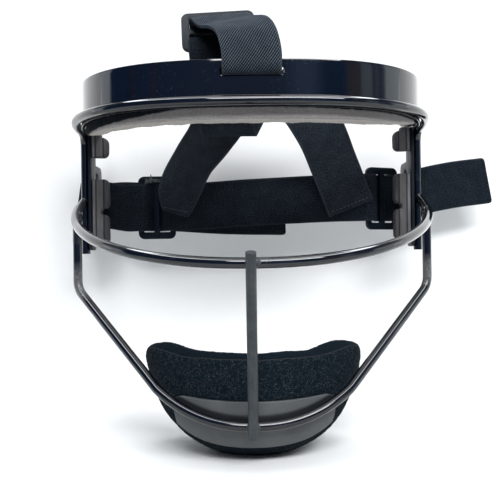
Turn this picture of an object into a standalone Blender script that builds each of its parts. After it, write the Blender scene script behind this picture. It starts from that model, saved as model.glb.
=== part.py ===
"""A softball fielder mask: a welded steel cage with a brow plate, pads, a chin cup and an elastic harness.

Metres, +Z up. The face looks along -Y and the wearer's crown is up. The origin is on the surface that the
mask stands on, under the axis of the chin cup. +X is to the right of someone who looks at the front.
"""

import math

import bmesh
import bpy
from mathutils import Matrix, Vector

MM = 0.001
CLEAR = 0.35 * MM  # air between neighbouring pieces that touch on the real mask
WELD = 0.9 * MM  # how far two welded rods run into each other
SIDES = (-1, 1)

# Steel rods
ROD_RADIUS = 2.4 * MM
NOSE_ROD_RADIUS = 2.25 * MM
HALF_WIDTH = 95.2 * MM  # middle plane to the middle of a side rod
SIDE_ROD_Y = 47.0 * MM
SIDE_ROD_LENGTH = 69.0 * MM
BROW_HEIGHT = 166.0 * MM  # floor to the middle of the brow rail
BROW_DEPTH = 85.0 * MM
BROW_SQUARENESS = 2.6
BROW_BEND = 8.0 * MM
CHEEK_HEIGHT = 92.7 * MM  # at the front
CHEEK_DEPTH = 118.5 * MM
CHEEK_RISE = 34.3 * MM  # from the front to the side rods
CHEEK_SQUARENESS = 2.15
CHEEK_SPREAD = 0.7 * MM  # its ends lie this far outside the side rods
JAW_Y = 16.0 * MM  # the upright stretch below the cheek rail
JAW_BEND_HEIGHT = 78.4 * MM
JAW_BEND = 9.0 * MM
JAW_INSET = 0.6 * MM
CHIN_HEIGHT = 19.5 * MM  # floor to the chin bend of the jaw rail
CHIN_RISE = 13.9 * MM  # from the middle of that bend to where the rail runs straight
CHIN_BEND_SHARE = 0.76  # of the bend's half width, where the straight stretch begins
NOSE_OVERRUN = 4.7 * MM

# Brow plate and pad
PLATE_WALL = 1.8 * MM
PLATE_HEIGHT = 22.0 * MM
PLATE_CORNER = 9.0 * MM
SLOT_X = 0.7 * MM  # the slot is a little off the middle
SLOT_WIDTH = 29.6 * MM
SLOT_HEIGHT = 3.8 * MM
SLOT_DROP = 5.6 * MM  # plate's top edge to the middle of the slot
BROW_PAD_FRONT = 14.0 * MM
BROW_PAD_END = 6.0 * MM
BROW_PAD_HEIGHT = 17.0 * MM
BROW_PAD_HANG = 5.2 * MM  # below the underside of the plate
BROW_PAD_ROUND = 3.0 * MM
BROW_PAD_STOP = 6.0 * MM  # its ends stop this far ahead of the side rods

# Side plates and the pads on them
SIDE_WALL = 1.6 * MM
SIDE_PLATE_AHEAD = 5.0 * MM
SIDE_PLATE_BEHIND = 8.0 * MM
SIDE_TAB_BEHIND = 24.0 * MM  # the slotted tab reaches further back
SIDE_TAB_OVER = 4.0 * MM  # tab above and below its slot
SIDE_PLATE_TOP_GAP = 5.0 * MM
SIDE_PLATE_TAIL = 2.0 * MM  # lower end above the side rod's end
SIDE_CORNER = 4.0 * MM
SIDE_SLOT_Y = 10.5 * MM  # behind the side rods
SIDE_SLOT_WIDTH = 6.4 * MM
SIDE_SLOT_SLACK = 5.0 * MM  # slot above the strap's upper edge
SIDE_SLOT_UNDER = 1.0 * MM
SIDE_PAD_BASE = 5.2 * MM
SIDE_PAD_LOBE = 4.0 * MM
SIDE_PAD_DEPTH = 7.5 * MM
SIDE_PAD_DROP = 64.0 * MM  # brow rail to the lower end of the pad
SIDE_PAD_HEIGHT = 37.5 * MM
LOBE_ROUND = 3.0 * MM
LOBE_GAP = 3.0 * MM
TEMPLE_PAD_DROP = 14.2 * MM
TEMPLE_PAD_HEIGHT = 11.2 * MM

# Chin cup: a foam bowl with a plate on its front
CUP_FRONT = 39.0 * MM  # radii of the rim, from the cup's axis
CUP_SIDE = 54.0 * MM
CUP_BACK = 25.0 * MM
CUP_FOOT_FRONT = 0.54  # the foot's share of the rim's radius, at the front and back
CUP_FOOT_SIDE = 0.4
CUP_FULL_FRONT = 7.0  # how soon the wall turns upright above the foot
CUP_FULL_SIDE = 2.2
CUP_RIM = 49.8 * MM
CUP_WALL = 13.0 * MM
CUP_FLOOR = 9.0 * MM
CUP_BACK_RIM = 0.24  # share of the front rim's height
CHIN_PLATE_WALL = 2.0 * MM
CHIN_PLATE_AIR = 0.6 * MM
CHIN_PLATE_ANGLE = math.radians(43)
CHIN_PLATE_LOW = 8.3 * MM
CHIN_PLATE_HIGH = 29.7 * MM
CHIN_PLATE_LIFT = 9.6 * MM  # lower edge at the ends above its middle
CHIN_PLATE_HORN = 2.4 * MM

# Elastic straps and their slide buckles
STRAP_WIDTH = 27.3 * MM
STRAP_WALL = 1.5 * MM
STRAP_BEHIND = 6.0 * MM  # side rods to the stretch across the back
STRAP_DROP = 53.9 * MM  # brow rail to the lower edge of the back strap
STRAP_END_X = 20.0 * MM  # the loose end behind the back stretch
STRAP_END_DROP = 5.6 * MM
STRAP_TAIL = 49.0 * MM  # the loose end outside the right side plate
STRAP_TAIL_RISE = 11.8 * MM
STRAP_TAIL_TURN = math.radians(10)
BUCKLE_LEFT_IN = 40.2 * MM  # side rod to the middle of the buckle
BUCKLE_LEFT_DROP = 42.7 * MM
BUCKLE_RIGHT_IN = 18.7 * MM
BUCKLE_RIGHT_DROP = 38.8 * MM
BUCKLE_RIGHT_BEHIND = 4.0 * MM  # the strap's middle stretch to the buckle
BUCKLE_RIGHT_TURN = math.radians(25)
BUCKLE_WIDTH = 21.6 * MM
BUCKLE_HEIGHT = 36.4 * MM
BUCKLE_WALL = 2.2 * MM
BUCKLE_BAR = 3.0 * MM
BUCKLE_CORNER = 3.5 * MM
V_TOP_RISE = 22.0 * MM  # brow rail to the seam at the crown
V_TOP_AHEAD = 30.0 * MM  # side rods to that seam
V_LEFT_FOOT = (13.2 * MM, 7.7 * MM)  # foot from the buckle inwards, and above the back strap's lower edge
V_RIGHT_FOOT = (19.0 * MM, 8.9 * MM)
V_LEFT_TOP_X = -2.0 * MM
V_RIGHT_TOP_X = 13.0 * MM
CROWN_BUCKLE_X = -15.5 * MM
CROWN_BUCKLE_BEHIND = 30.0 * MM  # the front of the brow rail to the buckle
CROWN_BUCKLE_RISE = 40.7 * MM  # brow rail to the buckle
CROWN_TILT = math.radians(71)  # the buckle nearly hangs, leaning back
CROWN_ROLL = math.radians(3)
CROWN_SAG = 9.6 * MM  # brow rail to the lowest point of the crown strap behind the brow pad

# Rows of a V strap, from its foot to the crown: shares of the way across, forward and up, and a turn in degrees
V_LEFT = ((0, 0, 0, 0), (0.0754, 0.1, 0.2375, 12), (0.2211, 0.3, 0.4062, 28))
V_LEFT += ((0.4849, 0.72, 0.5821, 16), (0.7362, 0.92, 0.7654, 6), (1, 1, 1, 0))
V_RIGHT = ((0, 0, 0, 0), (0.0787, 0.02, 0.1343, 0), (0.2247, 0.14, 0.3657, 0))
V_RIGHT += ((0.4719, 0.72, 0.6567, 0), (0.6966, 0.92, 0.8507, 0), (1, 1, 1, 0))

# Height shares of the chin cup's rim by angle from the front, in degrees
CUP_RIM_SHARES = (
    (0, 1.0),
    (30, 1.01),
    (62, 1.07),
    (78, 1.04),
    (92, 0.9),
    (108, 0.58),
    (126, 0.32),
    (150, CUP_BACK_RIM),
    (180, CUP_BACK_RIM),
)

collection = bpy.data.collections.new("fielder_mask")
cutters = bpy.data.collections.new("cutters")


def clear_scene():
    for thing in list(bpy.data.objects):
        bpy.data.objects.remove(thing, do_unlink=True)
    bpy.context.scene.collection.children.link(collection)
    bpy.context.scene.collection.children.link(cutters)


def finish(name, colour, roughness, metallic=0.0):
    material = bpy.data.materials.new(name)
    material.use_nodes = True
    shader = material.node_tree.nodes["Principled BSDF"]
    shader.inputs["Base Color"].default_value = (*colour, 1.0)
    shader.inputs["Roughness"].default_value = roughness
    shader.inputs["Metallic"].default_value = metallic
    return material


def add(name, data, material, home=None):
    thing = bpy.data.objects.new(name, data)
    (home or collection).objects.link(thing)
    if material:
        data.materials.append(material)
    return thing


def mix(a, b, share):
    return a + (b - a) * share


def look_up(rows, x):
    """Reads a table of (x, value) rows, eased between them."""
    for (x0, v0), (x1, v1) in zip(rows, rows[1:]):
        if x <= x1:
            share = (x - x0) / (x1 - x0)
            return mix(v0, v1, share * share * (3 - 2 * share))
    return rows[-1][1]


def smooth_path(points, steps):
    """A smooth curve through the points; each bend is shaped by the distances to its neighbours."""
    points = [Vector(p) for p in points]
    spans = [b - a for a, b in zip(points, points[1:])]
    slopes = [s / s.length for s in spans]
    tangents = [slopes[0]]
    for k in range(1, len(spans)):
        before, after = spans[k - 1].length, spans[k].length
        tangents.append((slopes[k - 1] * after + slopes[k] * before) / (before + after))
    tangents.append(slopes[-1])
    path = []
    for k, span in enumerate(spans):
        a, b = tangents[k] * span.length, tangents[k + 1] * span.length
        for step in range(steps):
            t = step / steps
            bend = (2 * t**3 - 3 * t**2 + 1) * points[k] + (3 * t**2 - 2 * t**3) * points[k + 1]
            path.append(bend + (t**3 - 2 * t**2 + t) * a + (t**3 - t**2) * b)
    return [*path, points[-1]]


def rounded_corner(before, corner, after, radius, steps=6):
    """Points of an arc that replaces a corner of a path."""
    into, out = (before - corner).normalized(), (after - corner).normalized()
    half = into.angle(out) / 2
    reach = radius / math.tan(half)
    centre = corner + (into + out).normalized() * (radius / math.sin(half))
    start, end = corner + into * reach - centre, corner + out * reach - centre
    turn = start.angle(end)
    return [
        centre + (start * math.sin(turn * (1 - k / steps)) + end * math.sin(turn * k / steps)) / math.sin(turn)
        for k in range(steps + 1)
    ]


def bent_plan(half_width, front, back, squareness, count):
    """Plan points of a rail bent round the face, from the left side to the right."""
    points = []
    for k in range(count + 1):
        angle = math.pi * k / count
        across = -math.copysign(abs(math.cos(angle)) ** (2 / squareness), math.cos(angle))
        forward = math.sin(angle) ** (2 / squareness) if 0 < k < count else 0.0
        points.append(Vector((half_width * across, back - (back - front) * forward, 0)))
    return points


def inset(points, distance):
    """Moves plan points towards the head, square to the line that they make."""
    moved = []
    for k, point in enumerate(points):
        along = points[min(k + 1, len(points) - 1)] - points[max(k - 1, 0)]
        moved.append(point + Vector((-along.y, along.x, 0)).normalized() * distance)
    return moved


def grid(rows, closed=False):
    """A mesh through rows of points, with a quad between each four neighbours."""
    mesh = bpy.data.meshes.new("surface")
    bm = bmesh.new()
    lines = [[bm.verts.new(p) for p in row] for row in rows]
    if closed:
        lines.append(lines[0])
    for low, high in zip(lines, lines[1:]):
        for k in range(len(low) - 1):
            bm.faces.new((low[k], low[k + 1], high[k + 1], high[k]))
    bmesh.ops.recalc_face_normals(bm, faces=bm.faces)
    bm.to_mesh(mesh)
    bm.free()
    return mesh


def rounded_outline(corners, steps=4):
    """A closed outline with its corners rounded, each by its own radius."""
    points = []
    for k, (corner, radius) in enumerate(corners):
        before, after = corners[k - 1][0], corners[(k + 1) % len(corners)][0]
        points += rounded_corner(*(Vector((*p, 0)) for p in (before, corner, after)), radius, steps)
    return [(p.x, p.y) for p in points]


def sheet(name, rows, wall, material):
    """A wall of even thickness whose middle surface runs through rows of points."""
    thing = add(name, grid(rows), material)
    solid = thing.modifiers.new("wall", "SOLIDIFY")
    solid.thickness = wall
    solid.offset = 0
    solid.use_even_offset = True
    return thing


def ribbon(name, path, across, material):
    """A strap along a path; across gives the direction of its width at each point."""
    half = STRAP_WIDTH / 2
    rows = [[p - a * half, p + a * half] for p, a in zip(path, across)]
    return sheet(name, rows, STRAP_WALL, material)


def across_path(path, facing):
    """Width directions of a strap whose face looks along facing at each point."""
    widths = []
    for k in range(len(path)):
        along = path[min(k + 1, len(path) - 1)] - path[max(k - 1, 0)]
        widths.append(along.cross(facing[k]).normalized())
    return widths


def tube(name, points, radius, material):
    curve = bpy.data.curves.new(name, "CURVE")
    curve.dimensions = "3D"
    curve.bevel_depth = radius
    curve.bevel_resolution = 3
    curve.use_fill_caps = True
    spline = curve.splines.new("POLY")
    spline.points.add(len(points) - 1)
    for target, p in zip(spline.points, points):
        target.co = (*p, 1)
    return add(name, curve, material)


def as_mesh(thing):
    """Replaces an object by the mesh that it evaluates to, with its caps welded on."""
    graph = bpy.context.evaluated_depsgraph_get()
    graph.update()
    mesh = bpy.data.meshes.new_from_object(thing.evaluated_get(graph))
    bm = bmesh.new()
    bm.from_mesh(mesh)
    bmesh.ops.remove_doubles(bm, verts=bm.verts, dist=1e-7)
    bmesh.ops.recalc_face_normals(bm, faces=bm.faces)
    bm.to_mesh(mesh)
    bm.free()
    name, place, home = thing.name, thing.matrix_world.copy(), thing.users_collection[0]
    bpy.data.objects.remove(thing, do_unlink=True)
    made = bpy.data.objects.new(name, mesh)
    made.matrix_world = place
    home.objects.link(made)
    return made


def combine(target, tool, operation):
    cut = target.modifiers.new(operation.lower(), "BOOLEAN")
    cut.operation = operation
    cut.solver = "EXACT"
    cut.object = tool
    bpy.context.view_layer.update()
    made = as_mesh(target)
    bpy.data.objects.remove(tool, do_unlink=True)
    return made


def box_cutter(centre, size):
    bpy.ops.mesh.primitive_cube_add(size=1, location=centre)
    cutter = bpy.context.object
    cutter.scale = size
    cutter.hide_render = True
    cutter.display_type = "WIRE"
    for home in list(cutter.users_collection):
        home.objects.unlink(cutter)
    cutters.objects.link(cutter)
    bpy.context.view_layer.update()
    return cutter


def outline(name, loops, depth, material):
    """A flat outline, with holes, that is thickened by depth along its own Z."""
    curve = bpy.data.curves.new(name, "CURVE")
    curve.dimensions = "2D"
    curve.fill_mode = "BOTH"
    curve.extrude = depth / 2
    for loop in loops:
        spline = curve.splines.new("POLY")
        spline.points.add(len(loop) - 1)
        spline.use_cyclic_u = True
        for target, (u, v) in zip(spline.points, loop):
            target.co = (u, v, 0, 1)
    return add(name, curve, material)


def rounded_rectangle(width, height, radius, middle=(0, 0), steps=4):
    points = []
    for quarter, (sx, sy) in enumerate(((1, 1), (-1, 1), (-1, -1), (1, -1))):
        for k in range(steps + 1):
            angle = math.pi / 2 * (quarter + k / steps)
            points.append(
                (
                    middle[0] + sx * (width / 2 - radius) + radius * math.cos(angle),
                    middle[1] + sy * (height / 2 - radius) + radius * math.sin(angle),
                )
            )
    return points


# Places that follow from the sizes
brow_front = SIDE_ROD_Y - BROW_DEPTH
cheek_back = SIDE_ROD_Y + ROD_RADIUS / 2
cheek_front = cheek_back - CHEEK_DEPTH
cheek_half_width = HALF_WIDTH + CHEEK_SPREAD
chin_reach = CHIN_PLATE_AIR + CHIN_PLATE_WALL + CLEAR + ROD_RADIUS
plate_bottom = BROW_HEIGHT - ROD_RADIUS
plate_top = plate_bottom + PLATE_HEIGHT
plate_inset = ROD_RADIUS + CLEAR
pad_inset = plate_inset + PLATE_WALL + CLEAR
brow_pad_bottom = plate_bottom - BROW_PAD_HANG
side_plate_x = HALF_WIDTH - ROD_RADIUS - CLEAR - SIDE_WALL / 2
side_slot_y = SIDE_ROD_Y + SIDE_SLOT_Y
side_plate_back = SIDE_ROD_Y + SIDE_TAB_BEHIND
side_plate_low = BROW_HEIGHT - SIDE_ROD_LENGTH + SIDE_PLATE_TAIL
strap_y = SIDE_ROD_Y + STRAP_BEHIND
strap_bottom = BROW_HEIGHT - STRAP_DROP
strap_middle = strap_bottom + STRAP_WIDTH / 2
left_buckle = Vector((BUCKLE_LEFT_IN - HALF_WIDTH, strap_y, BROW_HEIGHT - BUCKLE_LEFT_DROP))
right_buckle = Vector((HALF_WIDTH - BUCKLE_RIGHT_IN, strap_y + BUCKLE_RIGHT_BEHIND, BROW_HEIGHT - BUCKLE_RIGHT_DROP))
crown_buckle_middle = Vector((CROWN_BUCKLE_X, brow_front + CROWN_BUCKLE_BEHIND, BROW_HEIGHT + CROWN_BUCKLE_RISE))
v_top = BROW_HEIGHT + V_TOP_RISE
v_top_y = SIDE_ROD_Y - V_TOP_AHEAD
crown_sag = BROW_HEIGHT - CROWN_SAG
weave_swing = BUCKLE_WALL / 2 + STRAP_WALL / 2 + CLEAR * 2


def cheek_height_at(y):
    return CHEEK_HEIGHT + CHEEK_RISE * (y - cheek_front) / CHEEK_DEPTH


def cheek_half_width_at(y):
    share = (cheek_back - y) / CHEEK_DEPTH
    return cheek_half_width * (1 - share**CHEEK_SQUARENESS) ** (1 / CHEEK_SQUARENESS)


def brow_rail(material):
    """The rail round the brow, whose ends turn down as the side rods."""
    plan = bent_plan(HALF_WIDTH, brow_front, SIDE_ROD_Y, BROW_SQUARENESS, 44)
    level = [Vector((p.x, p.y, BROW_HEIGHT)) for p in plan if p.y < SIDE_ROD_Y - BROW_BEND]
    ends = []
    for side in SIDES:
        corner = Vector((side * HALF_WIDTH, SIDE_ROD_Y, BROW_HEIGHT))
        below = corner - Vector((0, 0, SIDE_ROD_LENGTH))
        ahead = corner - Vector((0, BROW_DEPTH / 2, 0))
        ends.append([below, *rounded_corner(below, corner, ahead, BROW_BEND)])
    return tube("cage", [*ends[0], *level, *reversed(ends[1])], ROD_RADIUS, material)


def cheek_rail(material):
    plan = bent_plan(cheek_half_width, cheek_front, cheek_back, CHEEK_SQUARENESS, 40)
    return tube("cheek_rail", [Vector((p.x, p.y, cheek_height_at(p.y))) for p in plan], ROD_RADIUS, material)


def jaw_rail(material):
    """Runs under the chin, straight up along both jaws and then upright to the cheek rail."""
    half, front = CUP_SIDE + chin_reach, CUP_FRONT + chin_reach
    leave = half * CHIN_BEND_SHARE
    chin = []
    for k in range(-9, 10):
        x = leave * k / 9
        rise = CHIN_RISE * abs(k / 9) ** 2.3
        chin.append(Vector((x, -front * math.sqrt(1 - (x / half) ** 2), CHIN_HEIGHT + rise)))
    jaw_x = cheek_half_width_at(JAW_Y) - JAW_INSET
    arms = []
    for side in SIDES:
        top = Vector((side * jaw_x, JAW_Y, cheek_height_at(JAW_Y)))
        corner = Vector((side * jaw_x, JAW_Y, JAW_BEND_HEIGHT))
        low = chin[0 if side < 0 else -1]
        arms.append([top, *rounded_corner(top, corner, low, JAW_BEND)])
    return tube("jaw_rail", [*arms[0], *chin, *reversed(arms[1])], ROD_RADIUS, material)


def nose_bar(material):
    """Stands in front of the cheek rail and the chin bend, and runs a little past both."""
    off = ROD_RADIUS + NOSE_ROD_RADIUS - WELD
    high = Vector((0, cheek_front - off, CHEEK_HEIGHT))
    low = Vector((0, -(CUP_FRONT + chin_reach) - off, CHIN_HEIGHT))
    along = (high - low).normalized() * NOSE_OVERRUN
    return tube("nose_bar", [low - along, mix(low, high, 0.5), high + along], NOSE_ROD_RADIUS, material)


def cage(material):
    frame = as_mesh(brow_rail(material))
    for rod in (cheek_rail(material), jaw_rail(material), nose_bar(material)):
        frame = combine(frame, as_mesh(rod), "UNION")
    frame.data.shade_smooth()
    return frame


def brow_plate(material):
    """A bent strip that stands on the inside of the brow rail, slotted for the crown strap."""
    plan = inset(bent_plan(HALF_WIDTH, brow_front, SIDE_ROD_Y, BROW_SQUARENESS, 48), plate_inset + PLATE_WALL / 2)
    rows = []
    for p in plan:
        back = max(SIDE_ROD_Y - p.y, 0.0)
        drop = PLATE_CORNER - math.sqrt(max(PLATE_CORNER**2 - max(PLATE_CORNER - back, 0.0) ** 2, 0.0))
        rows.append([Vector((p.x, p.y, plate_bottom)), Vector((p.x, p.y, plate_top - drop))])
    plate = as_mesh(sheet("brow_plate", rows, PLATE_WALL, material))
    slot = box_cutter((SLOT_X, brow_front, plate_top - SLOT_DROP), (SLOT_WIDTH, PLATE_WALL * 11, SLOT_HEIGHT))
    return combine(plate, slot, "DIFFERENCE")


def brow_pad(material):
    """Foam inside the brow plate: thick over the forehead and thin at the temples."""
    plan = bent_plan(HALF_WIDTH, brow_front, SIDE_ROD_Y, BROW_SQUARENESS, 48)
    outer = inset(plan, pad_inset)
    rows = []
    for p, face in zip(plan, outer):
        if p.y > SIDE_ROD_Y - BROW_PAD_STOP:
            continue
        back = (p.y - brow_front) / BROW_DEPTH
        deep = mix(BROW_PAD_FRONT, BROW_PAD_END, back)
        inward = (face - p).normalized()
        low, high = brow_pad_bottom, brow_pad_bottom + BROW_PAD_HEIGHT
        r = min(BROW_PAD_ROUND, deep / 2)
        section = ((0, low), (0, high), (deep - r, high), (deep, high - r), (deep, low + r), (deep - r, low), (0, low))
        rows.append([face + inward * d + Vector((0, 0, z)) for d, z in section])
    mesh = grid(rows)
    bm = bmesh.new()
    bm.from_mesh(mesh)
    bmesh.ops.remove_doubles(bm, verts=bm.verts, dist=1e-7)
    bmesh.ops.holes_fill(bm, edges=bm.edges)
    bmesh.ops.recalc_face_normals(bm, faces=bm.faces)
    bm.to_mesh(mesh)
    bm.free()
    return add("brow_pad", mesh, material)


def side_plate(side, material):
    """An upright strip inside the side rod, with a slotted tab behind it that the back strap runs through."""
    low = side_plate_low
    high = BROW_HEIGHT - SIDE_PLATE_TOP_GAP
    ahead, back = SIDE_ROD_Y - SIDE_PLATE_AHEAD, SIDE_ROD_Y + SIDE_PLATE_BEHIND
    slot_low, slot_high = strap_bottom - SIDE_SLOT_UNDER, strap_bottom + STRAP_WIDTH + SIDE_SLOT_SLACK
    r = SIDE_CORNER
    corners = (
        ((ahead, low), r),
        ((back, low), r),
        ((back, slot_low - SIDE_TAB_OVER), r / 2),
        ((side_plate_back, slot_low - SIDE_TAB_OVER), r),
        ((side_plate_back, slot_high + SIDE_TAB_OVER), r),
        ((back, slot_high + SIDE_TAB_OVER), r / 2),
        ((back, high), r),
        ((ahead, high), r),
    )
    edge = rounded_outline(corners)
    hole = rounded_rectangle(
        SIDE_SLOT_WIDTH, slot_high - slot_low, SIDE_WALL * 0.75, (side_slot_y, (slot_low + slot_high) / 2), 2
    )
    plate = outline(f"side_plate_{'left' if side < 0 else 'right'}", [edge, hole], SIDE_WALL, material)
    plate.rotation_euler = (math.pi / 2, 0, math.pi / 2)
    plate.location = (side * side_plate_x, 0, 0)
    return plate


def side_pad(name, side, bottom, height, lobes, material):
    """Foam on the inner face of a side plate: a base with rounded lobes above one another."""
    lobe = (height - LOBE_GAP * (lobes - 1)) / lobes
    full = SIDE_PAD_BASE + SIDE_PAD_LOBE
    loop = [(0, 0), (SIDE_PAD_BASE, 0)]
    for number in range(lobes):
        start = number * (lobe + LOBE_GAP)
        if number:
            loop += [(SIDE_PAD_BASE, start - LOBE_GAP), (SIDE_PAD_BASE, start)]
        for k in range(5):
            angle = math.pi / 2 * k / 4
            loop.append((full - LOBE_ROUND * (1 - math.sin(angle)), start + LOBE_ROUND * (1 - math.cos(angle))))
        for k in range(5):
            angle = math.pi / 2 * k / 4
            loop.append((full - LOBE_ROUND * (1 - math.cos(angle)), start + lobe - LOBE_ROUND * (1 - math.sin(angle))))
    loop += [(SIDE_PAD_BASE, height), (0, height)]
    if side > 0:
        loop = [(-u, v) for u, v in loop]
    pad = outline(f"{name}_{'left' if side < 0 else 'right'}", [loop], SIDE_PAD_DEPTH, material)
    pad.rotation_euler = (math.pi / 2, 0, 0)
    face = side_plate_x - SIDE_WALL / 2 - CLEAR
    pad.location = (side * face, SIDE_ROD_Y - SIDE_PLATE_AHEAD + SIDE_PAD_DEPTH / 2, bottom)
    return pad


def cup_radii(angle):
    """Reach of the chin cup's rim to the side and to the front or back, at an angle from the front."""
    return CUP_SIDE * math.sin(angle), -math.cos(angle) * (CUP_FRONT if math.cos(angle) > 0 else CUP_BACK)


def cup_share(height, angle):
    """Share of the rim's radius that the cup's outer wall has at a height and an angle from the front."""
    ahead = math.cos(angle) ** 2
    foot = mix(CUP_FOOT_SIDE, CUP_FOOT_FRONT, ahead)
    fullness = mix(CUP_FULL_SIDE, CUP_FULL_FRONT, ahead)
    return 1 - (1 - foot) * max(1 - height / CUP_RIM, 0.0) ** fullness


def chin_pad(material):
    """The foam cup: open above and behind, with a flat foot under the chin."""
    count = 48
    rows = []
    for k in range(count):
        angle = 2 * math.pi * k / count - math.pi
        rim = CUP_RIM * look_up(CUP_RIM_SHARES, abs(math.degrees(angle)))
        wide, deep = cup_radii(angle)
        reach = math.hypot(wide, deep)
        foot = cup_share(0, angle)
        edge = cup_share(rim, angle)
        crest = CUP_WALL * 0.28
        inner = edge - CUP_WALL / reach
        floor = min(CUP_FLOOR, rim - crest * 1.6)
        depth = rim - crest - floor
        ring = [(0.0, 0.0), (foot, 0.0)]
        ring += [(cup_share(rim * h, angle), rim * h) for h in (0.07, 0.16, 0.3, 0.5, 0.75)]
        ring += [(edge, rim - crest), (edge - crest / reach * 0.8, rim)]
        ring += [(inner + crest / reach * 0.9, rim), (inner, rim - crest)]
        ring += [(inner * 0.94, floor + depth * 0.5), (inner * 0.78, floor + depth * 0.16), (inner * 0.5, floor)]
        ring += [(0.0, CUP_FLOOR)]
        rows.append([Vector((wide * share, deep * share, height)) for share, height in ring])
    mesh = grid(rows, closed=True)
    bm = bmesh.new()
    bm.from_mesh(mesh)
    bmesh.ops.remove_doubles(bm, verts=bm.verts, dist=1e-6)
    bmesh.ops.recalc_face_normals(bm, faces=bm.faces)
    bm.to_mesh(mesh)
    bm.free()
    pad = add("chin_pad", mesh, material)
    mesh.shade_smooth()
    return pad


def chin_plate(material):
    """A thin crescent on the front of the cup, behind the chin bend of the jaw rail."""
    out = CHIN_PLATE_AIR + CHIN_PLATE_WALL / 2
    rows = []
    for k in range(25):
        share = k / 12 - 1
        angle = CHIN_PLATE_ANGLE * share
        low = CHIN_PLATE_LOW + CHIN_PLATE_LIFT * (share**2 * 0.45 + share**4 * 0.55)
        high = CHIN_PLATE_HIGH + CHIN_PLATE_HORN * (share**2 - 1.6 * share**16)
        row = []
        for level in range(6):
            z = mix(low, high, level / 5)
            part = cup_share(z, angle)
            row.append(
                Vector(
                    (
                        (CUP_SIDE * part + out) * math.sin(angle),
                        -(CUP_FRONT * part + out) * math.cos(angle),
                        z,
                    )
                )
            )
        rows.append(row)
    return sheet("chin_plate", rows, CHIN_PLATE_WALL, material)


def buckle(name, material):
    """A slide buckle: a frame with a middle bar, standing in its own XY plane."""
    hole = (BUCKLE_WIDTH - 3 * BUCKLE_BAR) / 2
    off = (hole + BUCKLE_BAR) / 2
    tall = BUCKLE_HEIGHT - 2 * BUCKLE_BAR
    loops = [rounded_rectangle(BUCKLE_WIDTH, BUCKLE_HEIGHT, BUCKLE_CORNER)]
    loops += [rounded_rectangle(hole, tall, 0.8 * MM, (side * off, 0), 2) for side in SIDES]
    return outline(name, loops, BUCKLE_WALL, material)


def back_buckle(name, middle, turn, material):
    thing = buckle(name, material)
    thing.rotation_euler = (math.pi / 2, 0, turn)
    thing.location = middle
    return thing


def weave(middle, turn, rise):
    """Points of a strap that passes a back buckle: before its outer bars and behind the middle one."""
    bar = (BUCKLE_WIDTH - BUCKLE_BAR) / 2
    rows = ((-1.8, 0.35), (-1.25, -0.9), (-0.75, -1.0), (-0.2, 1.0), (0.2, 1.0), (0.75, -1.0), (1.25, -0.9))
    points = []
    for share, off in rows:
        u, v = bar * share, weave_swing * off
        x, y = u * math.cos(turn) - v * math.sin(turn), u * math.sin(turn) + v * math.cos(turn)
        points.append((middle.x + x, middle.y + y, rise))
    return points


def back_strap(material):
    """One strap: its loose end, round the left side plate, across the back, out through the right one."""
    layer = STRAP_WALL + CLEAR * 2
    behind = left_buckle.y + BUCKLE_WALL / 2 + layer * 1.75
    left, right = -side_plate_x, side_plate_x
    edge = side_plate_back + STRAP_WALL / 2 + CLEAR
    sink = -STRAP_WALL * 0.8
    loose = [
        (STRAP_END_X, behind + STRAP_WALL * 0.267, -STRAP_END_DROP),
        (mix(STRAP_END_X, left_buckle.x, 0.5), behind + STRAP_WALL * 0.267, -STRAP_END_DROP * 0.8),
        (left_buckle.x, behind, -STRAP_END_DROP * 0.35),
        (mix(left_buckle.x, left, 0.55), mix(behind, edge, 0.35), 0),
    ]
    round_plate = [
        (left + STRAP_WALL * 3, edge - STRAP_WALL * 1.6, 0),
        (left, edge + STRAP_WALL * 0.533, 0),
        (left - STRAP_WALL * 5, edge - STRAP_WALL * 0.667, 0),
        (left - STRAP_WALL * 9.333, edge - STRAP_WALL * 4.333, 0),
        (left - STRAP_WALL * 7.667, side_slot_y + STRAP_WALL * 2, 0),
        (left - STRAP_WALL * 2.333, side_slot_y, 0),
        (left + STRAP_WALL * 2, side_slot_y - STRAP_WALL * 0.4, 0),
    ]
    across = [*weave(left_buckle, 0, sink), (0, strap_y + STRAP_WALL * 0.8, 0)]
    across += weave(right_buckle, BUCKLE_RIGHT_TURN, STRAP_TAIL_RISE * 0.1)
    tail = [
        (right - STRAP_WALL * 1.333, side_slot_y + STRAP_WALL * 0.333, STRAP_TAIL_RISE * 0.2),
        (right + STRAP_WALL * 2.667, side_slot_y + STRAP_WALL * 0.133, STRAP_TAIL_RISE * 0.36),
        (right + STRAP_TAIL * 0.5, side_slot_y + STRAP_WALL * 1.333, STRAP_TAIL_RISE * 0.74),
        (right + STRAP_TAIL, side_slot_y + STRAP_WALL * 2.667, STRAP_TAIL_RISE),
    ]
    rows = [*loose, *round_plate, *across, *tail]
    path = smooth_path([(x, y, strap_middle + z) for x, y, z in rows], 4)
    turns = [STRAP_TAIL_TURN * min(max((p.x - right_buckle.x) / STRAP_TAIL, 0.0), 1.0) for p in path]
    return ribbon("back_strap", path, [Vector((-math.sin(t), 0, math.cos(t))) for t in turns], material)


def v_strap(name, foot, top_x, rows, layer, material):
    """A strap from the back strap up to the crown. Its foot, given by x and height, lies on the back strap's front."""
    foot_y = strap_y - weave_swing - STRAP_WALL - CLEAR * 2
    top_y = v_top_y + (STRAP_WALL + CLEAR) * layer
    points = [(mix(foot[0], top_x, x), mix(foot_y, top_y, y), mix(foot[1], v_top, z)) for x, y, z, _ in rows]
    path = smooth_path(points, 4)
    turns = smooth_path([(k, math.radians(row[3]), 0) for k, row in enumerate(rows)], 4)
    facing = [Vector((math.sin(t.y), math.cos(t.y), 0)) for t in turns]
    return ribbon(name, path, across_path(path, facing), material)


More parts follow.
